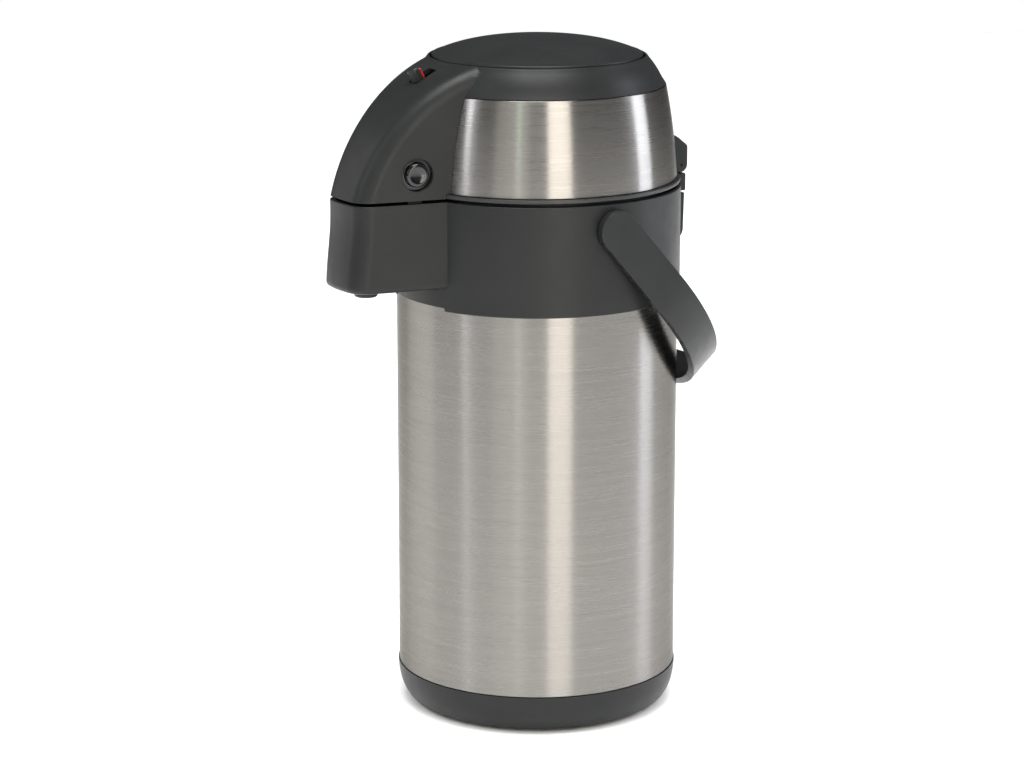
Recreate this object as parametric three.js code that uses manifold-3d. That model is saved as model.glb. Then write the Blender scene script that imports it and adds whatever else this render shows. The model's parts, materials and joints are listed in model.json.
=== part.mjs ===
// Push-pump thermal coffee airpot. Millimetres, +Z up. The spout points along -Y, the lid hinge is at +Y.
// The origin is the centre of the anti-slip pad, on the surface the pot stands on.

import * as THREE from 'three';
import { LoftGeometry } from 'three/addons/geometries/LoftGeometry.js';
import { mergeVertices } from 'three/addons/utils/BufferGeometryUtils.js';
import Module from 'manifold-3d';

const wasm = await Module();
wasm.setup();

// ---- Driving dimensions ----

const gap = 0.3; // clearance between pieces that rest on or pass through each other
const reachThrough = 90; // half-length of a cutter that goes right through the pot
const wall = 2.5; // moulded wall thickness

const bodySides = 36; // facets of the large turned pieces
const flaskSides = 24;
const smallSides = 12;

const shell = { radius: 78.7, sheet: 0.8, low: 22.9, top: 250 };
const base = { radius: 79.2, rimLow: 1.5, curveTop: 22.6, footRadius: 69, recessRadius: 66, holeRadius: 8 };
const socket = { radius: 75, top: 30, floorRadius: 67, rise: 8 };
const pad = { radius: 60, top: 1.2 };
const plate = { radius: 64, low: 1.5, top: 4.5, hubRadius: 7.5, hubTop: 9, bore: 2.3, boreLow: 3 };
const washer = { radius: 13, thickness: 1.5 };
const glide = { low: 4.8, top: 5.8, inner: 40, outer: 50 };
const floor = { low: 6.1, top: 8.5 };

const flask = { bottom: 18, jacket: 70, liner: 65.8, sheet: 0.8, corner: 15, shoulder: 222 };
const throat = { radius: 31.8, top: 258 };
const support = { inner: 30, outer: 52 };
const mouth = { bore: 27, outer: 36, low: 261.6, top: 283 };
const tube = { y: -16, radius: 5, bore: 3.8, low: 28 };
const pipe = { radius: 4.5, bore: 3.2, z: 266, bend: 8 };
const nozzle = { y: -109, radius: 6.75, bore: 4, low: 245, top: 257.7 };

const collar = { radius: 80, low: 237.6, top: 298, skirt: 79, inner: 77.5, deckLow: 272.2, deckTop: 274.7 };
const lid = { low: 299.8, seat: 302, flange: 79.6, plug: 73, plugLow: 286.3, bandTop: 354, rim: 369.8 };
const well = { radius: 59.6, wall: 2, low: 318, top: 366 };
const lidScrew = { circle: 64.5, hole: 1.7, head: 3.2, shank: 1.4, low: 284.6, top: 300 };
const boss = { radius: 3.5, top: 335 };
const disc = { radius: 58.5, apex: 380, skirtLow: 352, wall: 2 };
const bellows = { radius: 45, root: 38, low: 289.1, top: 350, folds: 5, wall: 1.2 };
const spring = { radius: 30, wire: 1.2, turns: 5 };

// The hood over the spout is an arc in the Y-Z plane between two upright walls that taper towards the front.
const hood = { centreY: -26, centreZ: 273.2, radius: 101.4, fillet: 8, crown: 1.2 };
const taper = { frontY: -122, frontHalf: 19.3, slope: 0.193 };
const beak = { proud: 0.7, low: 250, back: -66, corner: 9, bulge: 0.9 };

const hinge = { y: 85.8, z: 302.8, knuckle: 4.4, pin: 2, halfWidth: 16, tongueHalf: 9.5, pinHalf: 14.5 };
const bracketScrew = { offset: 10, z: 292.5, radius: 1.5, head: 3, hole: 1.8 };
const button = { y: -90.5, z: 313.7, radius: 6.5, proud: 1.4, hole: 8.75, flange: 9.6 };
const lock = { angle: 62.5, slotLength: 14.6, slotWidth: 9, knobRadius: 3.6, offset: -3.5, height: 7 };
const handle = { y: 0, z: 284, inner: 81, outer: 85.5, arm: 51.5, armWidth: 22.5, gripWidth: 20, hang: 48.5 };
const pivot = { stud: 4, hole: 4.3, skin: 1.2, studLow: 73.7, studTop: 84 };
const clip = { radius: 6.5, low: 74.6, top: 76.6 };

const radians = THREE.MathUtils.degToRad;
const bothSides = [['left', -1], ['right', 1]];

// ---- Finishes ----

function finish(color, roughness, metalness) {
  return new THREE.MeshStandardMaterial({ color, roughness, metalness });
}

const brushedSteel = finish(0x9c9791, 0.35, 1);
const flaskSteel = finish(0xb4b3b0, 0.3, 1);
const springSteel = finish(0xa9aaab, 0.3, 1);
const charcoalPlastic = finish(0x3e4040, 0.55, 0);
const innerPlastic = finish(0x2c2d2e, 0.6, 0);
const glossPlastic = finish(0x151617, 0.15, 0);
const redPlastic = finish(0xa8231f, 0.4, 0);
const sealRubber = finish(0x77726b, 0.8, 0);

// ---- Solids from three.js geometry ----

// Merges a closed geometry's vertices, drops the flat triangles at its poles and faces it outwards.
function solid(geometry) {
  const bare = new THREE.BufferGeometry();
  bare.setAttribute('position', geometry.getAttribute('position'));
  bare.setIndex(geometry.getIndex());
  const merged = mergeVertices(bare, 1e-4);
  const position = merged.getAttribute('position');
  const index = merged.getIndex();
  const corner = [new THREE.Vector3(), new THREE.Vector3(), new THREE.Vector3()];
  const triangles = [];
  let volume = 0;
  for (let i = 0; i < index.count; i += 3) {
    const ids = [index.getX(i), index.getX(i + 1), index.getX(i + 2)];
    if (new Set(ids).size < 3) continue;
    triangles.push(ids);
    ids.forEach((id, k) => corner[k].fromBufferAttribute(position, id));
    volume += corner[0].dot(corner[1].clone().cross(corner[2]));
  }
  const facing = volume < 0 ? triangles.map(([a, b, c]) => [a, c, b]) : triangles;
  const vertProperties = new Float32Array(position.array);
  const triVerts = new Uint32Array(facing.flat());
  return new wasm.Manifold(new wasm.Mesh({ numProp: 3, vertProperties, triVerts }));
}

// Turns an outline of [radius, height] points about the vertical axis.
function turned(outline, sides = smallSides) {
  const points = outline.map(([radius, height]) => new THREE.Vector2(radius, height));
  points.push(points[0].clone());
  return solid(new THREE.LatheGeometry(points, sides).rotateX(Math.PI / 2));
}

// A turned ring, or a disc where the inner radius is 0.
function ring(inner, outer, low, top, sides = smallSides) {
  return turned([[inner, low], [outer, low], [outer, top], [inner, top]], sides);
}

function block([x0, x1], [y0, y1], [z0, z1]) {
  const box = new THREE.BoxGeometry(x1 - x0, y1 - y0, z1 - z0);
  return solid(box.translate((x0 + x1) / 2, (y0 + y1) / 2, (z0 + z1) / 2));
}

// A round bar along X.
function barX(radius, [x0, x1], y, z, sides = smallSides) {
  const bar = new THREE.CylinderGeometry(radius, radius, x1 - x0, sides).rotateZ(Math.PI / 2);
  return solid(bar.translate((x0 + x1) / 2, y, z));
}

// A round bar along Y.
function barY(radius, [y0, y1], x, z, sides = smallSides) {
  const bar = new THREE.CylinderGeometry(radius, radius, y1 - y0, sides);
  return solid(bar.translate(x, (y0 + y1) / 2, z));
}

// Extrudes an outline of [y, z] points along X, from -half to +half.
function slabX(outline, half) {
  const shape = new THREE.Shape(outline.map(([y, z]) => new THREE.Vector2(y, z)));
  const slab = new THREE.ExtrudeGeometry(shape, { depth: 2 * half, bevelEnabled: false });
  const axes = new THREE.Matrix4().makeBasis(
    new THREE.Vector3(0, 1, 0),
    new THREE.Vector3(0, 0, 1),
    new THREE.Vector3(1, 0, 0),
  );
  return solid(slab.applyMatrix4(axes).translate(-half, 0, 0));
}

// Skins a row of closed sections, each turned to run anticlockwise as seen from the far end.
function lofted(sections) {
  const [near, next] = sections;
  const normal = new THREE.Vector3();
  near.forEach((p, i) => normal.add(p.clone().cross(near[(i + 1) % near.length])));
  const ahead = new THREE.Vector3();
  near.forEach((p, i) => ahead.add(next[i]).sub(p));
  const wound = normal.dot(ahead) < 0 ? sections.map((section) => [...section].reverse()) : sections;
  return solid(new LoftGeometry(wound, { capStart: true, capEnd: true }));
}

// Sweeps a round section along a curve, in the given number of steps.
function rod(curve, radius, steps, sides) {
  const section = new THREE.Shape();
  for (let i = 0; i < sides; i++) {
    const angle = (2 * Math.PI * i) / sides;
    const point = [radius * Math.cos(angle), radius * Math.sin(angle)];
    if (i === 0) section.moveTo(...point);
    else section.lineTo(...point);
  }
  return solid(new THREE.ExtrudeGeometry(section, { steps, extrudePath: curve, bevelEnabled: false }));
}

// Makes a solid the mesh of one named sub-part in its group.
function place(group, name, shape, material, matrix) {
  const made = shape.getMesh();
  const geometry = new THREE.BufferGeometry();
  geometry.setAttribute('position', new THREE.BufferAttribute(made.vertProperties, 3));
  geometry.setIndex(new THREE.BufferAttribute(made.triVerts, 1));
  if (matrix) geometry.applyMatrix4(matrix);
  geometry.computeVertexNormals();
  const mesh = new THREE.Mesh(geometry, material);
  mesh.name = name;
  group.add(mesh);
}

// ---- Shapes shared by the lid and the collar ----

// Half the distance between the two tapered walls at a given y.
const wallHalf = (y) => taper.frontHalf + (y - taper.frontY) * taper.slope;

// One section of the hood across X, in the plane that leans back by the given angle.
function hoodSection(angle, inset, root) {
  const top = hood.radius - inset;
  const fillet = hood.fillet - inset;
  const at = (radius, across) => {
    const y = hood.centreY - radius * Math.cos(angle);
    const z = hood.centreZ + radius * Math.sin(angle);
    const half = wallHalf(y) - inset;
    return new THREE.Vector3(across(half), y, z);
  };
  const right = [at(root, (half) => half)];
  const steps = 3;
  for (let i = 0; i <= steps; i++) {
    const turn = (Math.PI / 2) * (i / steps);
    const drop = hood.crown + fillet * (1 - Math.sin(turn));
    right.push(at(top - drop, (half) => half - fillet * (1 - Math.cos(turn))));
  }
  right.push(at(top - hood.crown / 4, (half) => half / 2));
  const left = right.map((p) => new THREE.Vector3(-p.x, p.y, p.z)).reverse();
  return [...right, at(top, () => 0), ...left];
}

function hoodSolid(inset, root) {
  const sections = [];
  for (let degrees = -10; degrees <= 80; degrees += 9) {
    sections.push(hoodSection(radians(degrees), inset, root));
  }
  return lofted(sections);
}

// How far forward the front of the beak reaches at each height.
const beakFront = [
  [250, -127.7],
  [256, -127.6],
  [269, -126.3],
  [281, -124.9],
  [290, -124.3],
  [298, -124.3],
];

function beakSolid(inset, low, top, backY) {
  const sections = beakFront.map(([height, front], level) => {
    const z = level === 0 ? low : level === beakFront.length - 1 ? top : height;
    const frontY = front + inset;
    const half = (y) => wallHalf(y) + beak.proud - inset;
    const radius = beak.corner - inset;
    const points = [new THREE.Vector3(half(backY), backY, z)];
    const steps = 4;
    const corner = [];
    for (let i = 0; i <= steps; i++) {
      const turn = (Math.PI / 2) * (i / steps);
      const y = frontY + beak.bulge + radius * (1 - Math.sin(turn));
      corner.push(new THREE.Vector3(half(y) - radius * (1 - Math.cos(turn)), y, z));
    }
    points.push(...corner, new THREE.Vector3(0, frontY, z));
    points.push(...corner.map((p) => new THREE.Vector3(-p.x, p.y, z)).reverse());
    points.push(new THREE.Vector3(-half(backY), backY, z));
    return points;
  });
  return lofted(sections);
}

// Outer radius of the lid's steel band at a given height.
function bandRadius(z) {
  const rise = z - lid.seat;
  return 77.7 - 0.0442 * rise - 0.001553 * rise * rise;
}

const bandHeights = [lid.seat + gap, 320, 338, lid.bandTop];
const bandCurve = (inset) => bandHeights.map((z) => [bandRadius(z) - inset, z]);

// The frame of a release button: +X points out of the side wall, through the button's centre.
function buttonFrame(side) {
  const x = side * wallHalf(button.y);
  const lean = Math.atan(taper.slope);
  const angle = side > 0 ? -lean : Math.PI + lean;
  return new THREE.Matrix4().makeRotationZ(angle).setPosition(x, button.y, button.z);
}

// The frame of the lock: +X lies across the hood, +Y points along it to the disc and +Z out of it.
function lockFrame() {
  const angle = radians(lock.angle);
  const out = new THREE.Vector3(0, -Math.cos(angle), Math.sin(angle));
  const along = new THREE.Vector3(0, Math.sin(angle), Math.cos(angle));
  const frame = new THREE.Matrix4().makeBasis(new THREE.Vector3(1, 0, 0), along, out);
  return frame.setPosition(0, hood.centreY + hood.radius * out.y, hood.centreZ + hood.radius * out.z);
}

// ---- Swivel base ----

function buildSwivel() {
  const group = new THREE.Group();
  place(group, 'anti_slip_pad', ring(0, pad.radius, 0, pad.top, flaskSides), sealRubber);
  const table = turned([
    [0, plate.low],
    [plate.radius, plate.low],
    [plate.radius, plate.top],
    [plate.hubRadius, plate.top],
    [plate.hubRadius, plate.hubTop],
    [plate.bore, plate.hubTop],
    [plate.bore, plate.boreLow],
    [0, plate.boreLow],
  ], flaskSides);
  place(group, 'turntable', table, innerPlastic);
  const washerLow = plate.hubTop + gap;
  const washerTop = washerLow + washer.thickness;
  place(group, 'swivel_washer', ring(plate.bore, washer.radius, washerLow, washerTop), springSteel);
  const shank = plate.bore - gap;
  const head = { radius: 4.5, low: washerTop + gap, rim: 13, crown: 13.6 };
  const screw = turned([
    [0, plate.boreLow + gap],
    [shank, plate.boreLow + gap],
    [shank, head.low],
    [head.radius, head.low],
    [head.radius, head.rim],
    [0, head.crown],
  ]);
  place(group, 'swivel_screw', screw, springSteel);
  return group;
}

// ---- Outer body ----

function buildBody() {
  const group = new THREE.Group();
  const curve = [];
  const steps = 4;
  for (let i = 0; i <= steps; i++) {
    const angle = (Math.PI / 2) * (1 - i / steps);
    const across = base.radius - base.footRadius;
    const height = base.curveTop - base.rimLow;
    curve.push([base.footRadius + across * Math.cos(angle), base.curveTop - height * Math.sin(angle)]);
  }
  const lipOuter = shell.radius - shell.sheet - gap;
  const cap = turned([
    ...curve,
    [lipOuter, base.curveTop],
    [lipOuter, socket.top],
    [socket.radius, socket.top],
    [socket.radius, floor.top + socket.rise],
    [socket.floorRadius, floor.top],
    [base.holeRadius, floor.top],
    [base.holeRadius, floor.low],
    [base.recessRadius, floor.low],
    [base.recessRadius, base.rimLow],
  ], bodySides);
  place(group, 'base_cap', cap, charcoalPlastic);
  place(group, 'glide_ring', ring(glide.inner, glide.outer, glide.low, glide.top, flaskSides), innerPlastic);
  const sheet = ring(shell.radius - shell.sheet, shell.radius, shell.low, shell.top, bodySides);
  place(group, 'outer_shell', sheet, brushedSteel);
  return group;
}

// ---- Vacuum flask ----

// Outline of a flask wall's cup from the bottom centre to the top of its side.
function cupOutline(radius, bottom, top, inset) {
  const side = radius - inset;
  const low = bottom + inset;
  const bevel = flask.corner * (1 - Math.SQRT1_2);
  return [
    [0, low],
    [side - flask.corner, low],
    [side - bevel, low + bevel],
    [side, low + flask.corner],
    [side, top],
  ];
}

// Outline of a flask wall's shoulder and neck, from the side up.
function neckOutline(radius, neck, top, inset) {
  const inner = neck - inset;
  return [
    [radius - inset, flask.shoulder],
    [radius - inset - 10, flask.shoulder + 13],
    [inner + 3, flask.shoulder + 24 - inset],
    [inner, flask.shoulder + 27],
    [inner, top],
  ];
}

function buildFlask() {
  const group = new THREE.Group();
  const supportLow = floor.top + gap;
  const cushion = ring(support.inner, support.outer, supportLow, flask.bottom - gap, flaskSides);
  place(group, 'flask_support', cushion, sealRubber);

  const jacketTop = throat.top - gap;
  const jacketWall = (inset) => [
    ...cupOutline(flask.jacket, flask.bottom, flask.shoulder - 1, inset),
    ...neckOutline(flask.jacket, throat.radius, jacketTop, inset),
  ];
  const jacket = [...jacketWall(0), ...jacketWall(flask.sheet).reverse()];
  place(group, 'flask_jacket', turned(jacket, flaskSides), flaskSteel);

  // The liner is a drawn cup and a necked top, which are welded together where they meet.
  const cupTop = flask.shoulder - gap;
  const cup = [
    ...cupOutline(flask.liner, flask.bottom + 4, cupTop, 0),
    ...cupOutline(flask.liner, flask.bottom + 4, cupTop, flask.sheet).reverse(),
  ];
  place(group, 'flask_liner', turned(cup, flaskSides), flaskSteel);
  const neck = mouth.bore + flask.sheet;
  const rimTop = throat.top + flask.sheet;
  const liner = [
    ...neckOutline(flask.liner, neck, throat.top, 0),
    [throat.radius, throat.top],
    [throat.radius, rimTop],
    ...neckOutline(flask.liner, neck, rimTop, flask.sheet).reverse(),
  ];
  place(group, 'flask_neck', turned(liner, flaskSides), flaskSteel);
  const sealLow = rimTop + gap;
  place(group, 'mouth_gasket', ring(mouth.bore, 33, sealLow, mouth.low - gap, flaskSides), sealRubber);
  return group;
}

// ---- Coffee path from the flask to the spout ----

function buildCoffeePath() {
  const group = new THREE.Group();
  const pipeHole = barY(pipe.radius + gap, [-40, -20], 0, pipe.z);
  const mouthRing = ring(mouth.bore, mouth.outer, mouth.low, mouth.top, flaskSides);
  place(group, 'mouth_ring', mouthRing.subtract(pipeHole), innerPlastic);

  const tubeTop = mouth.low - gap;
  const along = new THREE.Matrix4().makeTranslation(0, tube.y, 0);
  place(group, 'dip_tube', ring(tube.bore, tube.radius, tube.low, tubeTop), flaskSteel, along);

  const stub = ring(0, tube.radius + 0.7, mouth.low, pipe.z + 5.5).translate([0, tube.y, 0]);
  const stubBore = ring(0, tube.bore, mouth.low - 1, pipe.z + 1).translate([0, tube.y, 0]);
  const branchEnd = -mouth.outer - 2;
  const branch = barY(pipe.radius, [branchEnd, tube.y], 0, pipe.z);
  const branchBore = barY(pipe.bore, [branchEnd - 1, tube.y], 0, pipe.z);
  const elbow = stub.add(branch).subtract(stubBore).subtract(branchBore);
  place(group, 'outlet_elbow', elbow, innerPlastic);

  const start = branchEnd - gap;
  const route = new THREE.CurvePath();
  const flat = new THREE.Vector3(0, nozzle.y + pipe.bend, pipe.z);
  const drop = new THREE.Vector3(0, nozzle.y, pipe.z - pipe.bend);
  route.add(new THREE.LineCurve3(new THREE.Vector3(0, start, pipe.z), flat));
  route.add(new THREE.QuadraticBezierCurve3(flat, new THREE.Vector3(0, nozzle.y, pipe.z), drop));
  const outer = lofted(pipeSections(route, pipe.radius));
  const inner = lofted(pipeSections(route, pipe.bore, 1));
  place(group, 'spout_pipe', outer.subtract(inner), innerPlastic);

  const spout = turned([
    [nozzle.bore, nozzle.low],
    [nozzle.radius - 0.6, nozzle.low],
    [nozzle.radius, nozzle.low + 1],
    [nozzle.radius, nozzle.top],
    [nozzle.bore, nozzle.top],
  ], 16);
  const forward = new THREE.Matrix4().makeTranslation(0, nozzle.y, 0);
  place(group, 'spout_nozzle', spout, charcoalPlastic, forward);
  return group;
}

// Rings of points across a pipe that lies in the Y-Z plane; extend runs its ends past the route's.
function pipeSections(route, radius, extend = 0) {
  const [line, bend] = route.curves;
  const stations = [
    [line, 0, -extend],
    [line, 1, 0],
    [bend, 0.25, 0],
    [bend, 0.5, 0],
    [bend, 0.75, 0],
    [bend, 1, extend],
  ];
  return stations.map(([curve, t, past]) => {
    const ahead = curve.getTangent(t);
    const centre = curve.getPoint(t).addScaledVector(ahead, past);
    const across = new THREE.Vector3(1, 0, 0);
    const side = new THREE.Vector3().crossVectors(ahead, across);
    const points = [];
    for (let i = 0; i < smallSides; i++) {
      const angle = (2 * Math.PI * i) / smallSides;
      const point = centre.clone().addScaledVector(across, radius * Math.cos(angle));
      points.push(point.addScaledVector(side, radius * Math.sin(angle)));
    }
    return points;
  });
}

// ---- Collar with the beak that carries the spout ----

// A drum on the pot's axis, taller than the collar and the lid, to cut with.
const tallDrum = (radius) => ring(0, radius, 200, 320, bodySides);

// Half of the knuckle's circle from its outer side to its inner side, over the pin or under it.
function knuckleArc(over) {
  const points = [];
  const steps = 8;
  for (let i = 0; i <= steps; i++) {
    const angle = (over * Math.PI * i) / steps;
    points.push([hinge.y + hinge.knuckle * Math.cos(angle), hinge.z + hinge.knuckle * Math.sin(angle)]);
  }
  return points;
}

// Holes for the two screws that hold the hinge bracket, from inside the collar into the bracket.
function bracketHoles() {
  const across = [-bracketScrew.offset, bracketScrew.offset];
  return across.map((x) => barY(bracketScrew.hole, [70, 87], x, bracketScrew.z, 10));
}

function buildCollar() {
  const group = new THREE.Group();
  const drum = turned([
    [collar.skirt, collar.low],
    [collar.radius, collar.low],
    [collar.radius, collar.top],
    [collar.inner, collar.top],
    [collar.inner, collar.deckTop],
    [mouth.outer + gap, collar.deckTop],
    [mouth.outer + gap, collar.deckLow],
    [collar.inner, collar.deckLow],
    [collar.inner, shell.top + gap],
    [collar.skirt, shell.top + gap],
  ], bodySides);
  const core = tallDrum(collar.radius - 1);
  const beakOuter = beakSolid(0, beak.low, collar.top, beak.back).subtract(core);
  const beakInner = beakSolid(wall, beak.low + wall, collar.top + 1, beak.back);
  const beakRoom = beakInner.subtract(tallDrum(collar.radius));
  const recessHalf = wallHalf(-collar.radius) + beak.proud - 1;
  const recess = block([-recessHalf, recessHalf], [-90, -60], [collar.low - 1, collar.low + 2]);
  const nozzleHole = ring(0, nozzle.radius + gap, beak.low - 1, beak.low + wall + 1, 16);
  const pivotHole = barX(pivot.hole, [-reachThrough, reachThrough], handle.y, handle.z);
  let shape = drum.add(beakOuter).subtract(beakRoom).subtract(recess).subtract(pivotHole);
  shape = shape.subtract(nozzleHole.translate([0, nozzle.y, 0]));
  shape = shape.subtract(barY(pipe.radius + 0.5, [-90, -70], 0, pipe.z));
  for (const hole of bracketHoles()) shape = shape.subtract(hole);
  place(group, 'collar', shape, charcoalPlastic);

  const against = tallDrum(collar.radius + gap);
  const tongue = slabX([[81.4, 290], [hinge.y + hinge.knuckle, 290], ...knuckleArc(1)], hinge.tongueHalf);
  const footHalf = hinge.halfWidth - 1;
  const foot = block([-footHalf, footHalf], [70, 89.7], [287.6, 297.7]);
  let bracket = foot.add(tongue).subtract(against);
  bracket = bracket.subtract(barX(hinge.pin + gap, [-reachThrough, reachThrough], hinge.y, hinge.z));
  for (const hole of bracketHoles()) bracket = bracket.subtract(hole);
  place(group, 'hinge_bracket', bracket, charcoalPlastic);
  for (const [name, side] of bothSides) {
    const x = side * bracketScrew.offset;
    const shank = barY(bracketScrew.radius, [76, 86.5], x, bracketScrew.z, 10);
    const head = barY(bracketScrew.head, [74.6, 76.1], x, bracketScrew.z, 12);
    place(group, `bracket_screw_${name}`, shank.add(head), springSteel);
  }

  const cover = slabX([[70, 257], [80.6, 257], [88.3, 263], [89, 286.6], [70, 286.6]], footHalf);
  place(group, 'hinge_cover', cover.subtract(against), charcoalPlastic);

  for (const [name, side] of bothSides) {
    const strike = block([-4, -2.1], [-6, 6], [-22, -19.5]);
    place(group, `latch_strike_${name}`, strike, springSteel, buttonFrame(side));
  }
  return group;
}

// ---- Lid ----

// Where the four lid screws and their bosses stand.
const screwCircle = [45, 135, 225, 315].map((degrees) => {
  const angle = radians(degrees);
  return [lidScrew.circle * Math.cos(angle), lidScrew.circle * Math.sin(angle)];
});

function buildLid() {
  const group = new THREE.Group();
  place(group, 'lid_housing', lidHousing(), charcoalPlastic);

  const band = turned([...bandCurve(0), ...bandCurve(shell.sheet).reverse()], bodySides);
  place(group, 'lid_band', band.subtract(hoodSolid(-gap, 20)), brushedSteel);

  place(group, 'lid_base', lidBase(), innerPlastic);
  place(group, 'lid_gasket', ring(28, 35, mouth.top + gap, lid.plugLow - gap, flaskSides), sealRubber);
  const flapTop = lid.plugLow - gap;
  const valve = turned([[0, 284.6], [9, 284.6], [9, flapTop], [2, flapTop], [2, 290], [0, 290]]);
  place(group, 'air_check_valve', valve, sealRubber);
  screwCircle.forEach(([x, y], i) => {
    const screw = ring(0, lidScrew.head, lidScrew.low, flapTop, 8).add(
      ring(0, lidScrew.shank, flapTop - 0.5, lidScrew.top, 8),
    );
    place(group, `lid_screw_${i + 1}`, screw.translate([x, y, 0]), springSteel);
  });
  return group;
}

// The moulding that holds the pump, the hood and the shoulder, open below where the lid base closes it.
function lidHousing() {
  const under = shell.sheet + gap;
  const wellWall = well.radius + well.wall;
  const drum = turned([
    ...bandCurve(under),
    [70.8, lid.bandTop + gap],
    [68.8, 357.3],
    [65.5, 363.4],
    [61.7, 367.8],
    [60.6, lid.rim],
    [well.radius, lid.rim],
    [well.radius, well.low],
    [wellWall, well.low],
    [wellWall, well.top - 1],
    ...bandCurve(under + well.wall).reverse(),
  ], bodySides);
  const below = ring(0, 200, 200, lid.low, bodySides);
  const flangeRoom = ring(0, lid.flange + gap, 200, lid.seat + gap, bodySides);
  let shape = drum.add(hoodSolid(0, 20)).subtract(hoodSolid(wall, 10));
  shape = shape.subtract(below).subtract(flangeRoom);
  shape = shape.add(ring(well.radius, wellWall, well.low, well.top, bodySides));
  const bossLow = lid.plugLow + wall + gap;
  for (const [x, y] of screwCircle) {
    shape = shape.add(ring(0, boss.radius, bossLow, boss.top, 8).translate([x, y, 0]));
  }
  shape = shape.subtract(ring(0, well.radius, 290, 390, bodySides));
  for (const hole of lidScrewHoles()) shape = shape.subtract(hole);
  const halfSlot = lock.slotLength / 2;
  const slot = block([-lock.slotWidth / 2, lock.slotWidth / 2], [-halfSlot, halfSlot], [-6, 6]);
  shape = shape.subtract(slot.transform(lockFrame().elements));
  const buttonHole = barX(button.hole, [-6, 6], 0, 0, 16);
  for (const [, side] of bothSides) shape = shape.subtract(buttonHole.transform(buttonFrame(side).elements));
  return largest(shape);
}

function lidScrewHoles() {
  return screwCircle.map(([x, y]) => ring(0, lidScrew.hole, 280, 301, 8).translate([x, y, 0]));
}

// Keeps the main body of a cut shape and drops the loose slivers.
function largest(shape) {
  return shape.decompose().sort((a, b) => b.volume() - a.volume())[0];
}

// The pan that closes the lid from below, with a tongue under the hood that the latch pawls pass through.
function lidBase() {
  const airHole = 5;
  const panWall = lid.plug - wall;
  const panFloor = lid.plugLow + wall;
  const pan = turned([
    [airHole, lid.plugLow],
    [lid.plug, lid.plugLow],
    [lid.plug, lid.low],
    [lid.flange, lid.low],
    [lid.flange, lid.seat],
    [panWall, lid.seat],
    [panWall, panFloor],
    [airHole, panFloor],
  ], bodySides);
  const inside = wall + gap;
  const backY = -74.5;
  const frontY = -117.8;
  const backHalf = wallHalf(backY) - inside;
  const frontHalf = wallHalf(frontY) - inside - 4;
  const tongue = new THREE.Shape();
  tongue.moveTo(-backHalf, backY);
  tongue.lineTo(-frontHalf, frontY);
  tongue.lineTo(frontHalf, frontY);
  tongue.lineTo(backHalf, backY);
  const depth = lid.seat - lid.low;
  const plate = new THREE.ExtrudeGeometry(tongue, { depth, bevelEnabled: false }).translate(0, 0, lid.low);
  let shape = pan.add(solid(plate));
  const pawlSlot = block([-11, -3.6], [-4.6, 4.6], [-20, -8]);
  for (const [, side] of bothSides) shape = shape.subtract(pawlSlot.transform(buttonFrame(side).elements));
  for (const hole of lidScrewHoles()) shape = shape.subtract(hole);
  return shape;
}

function buildHingeLug() {
  const group = new THREE.Group();
  const knuckle = knuckleArc(-1).reverse();
  const crest = [[90.2, 313.6], [84, 318.6], [79, 321.3]];
  const lug = slabX([[70, 321.3], [70, 303], ...knuckle, ...crest], hinge.halfWidth);
  const flangeEdge = lid.flange + gap;
  const clear = [
    [0, 280],
    [flangeEdge, 280],
    [flangeEdge, lid.seat + gap],
    ...bandCurve(-gap),
    [0, lid.bandTop],
  ];
  const forkHalf = hinge.tongueHalf + gap;
  const fork = block([-forkHalf, forkHalf], [60, 100], [290, hinge.z + hinge.knuckle + 0.7]);
  const pinHole = barX(hinge.pin + gap, [-hinge.pinHalf - gap, hinge.pinHalf + gap], hinge.y, hinge.z);
  const shape = lug.subtract(turned(clear, bodySides)).subtract(fork).subtract(pinHole);
  place(group, 'lid_hinge_lug', shape, charcoalPlastic);
  place(group, 'hinge_pin', barX(hinge.pin, [-hinge.pinHalf, hinge.pinHalf], hinge.y, hinge.z), springSteel);
  return group;
}

// ---- Air pump under the press disc ----

function bellowsOutline(inset) {
  const points = [];
  const pitch = (bellows.top - bellows.low) / bellows.folds;
  for (let i = 0; i <= bellows.folds; i++) {
    points.push([bellows.root - inset, bellows.low + pitch * i]);
    if (i < bellows.folds) points.push([bellows.radius - inset, bellows.low + pitch * (i + 0.5)]);
  }
  return points;
}

class Helix extends THREE.Curve {
  constructor(radius, low, top, turns) {
    super();
    this.radius = radius;
    this.low = low;
    this.top = top;
    this.turns = turns;
  }

  getPoint(t, target = new THREE.Vector3()) {
    const angle = 2 * Math.PI * this.turns * t;
    const height = this.low + (this.top - this.low) * t;
    return target.set(this.radius * Math.cos(angle), this.radius * Math.sin(angle), height);
  }
}

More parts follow.
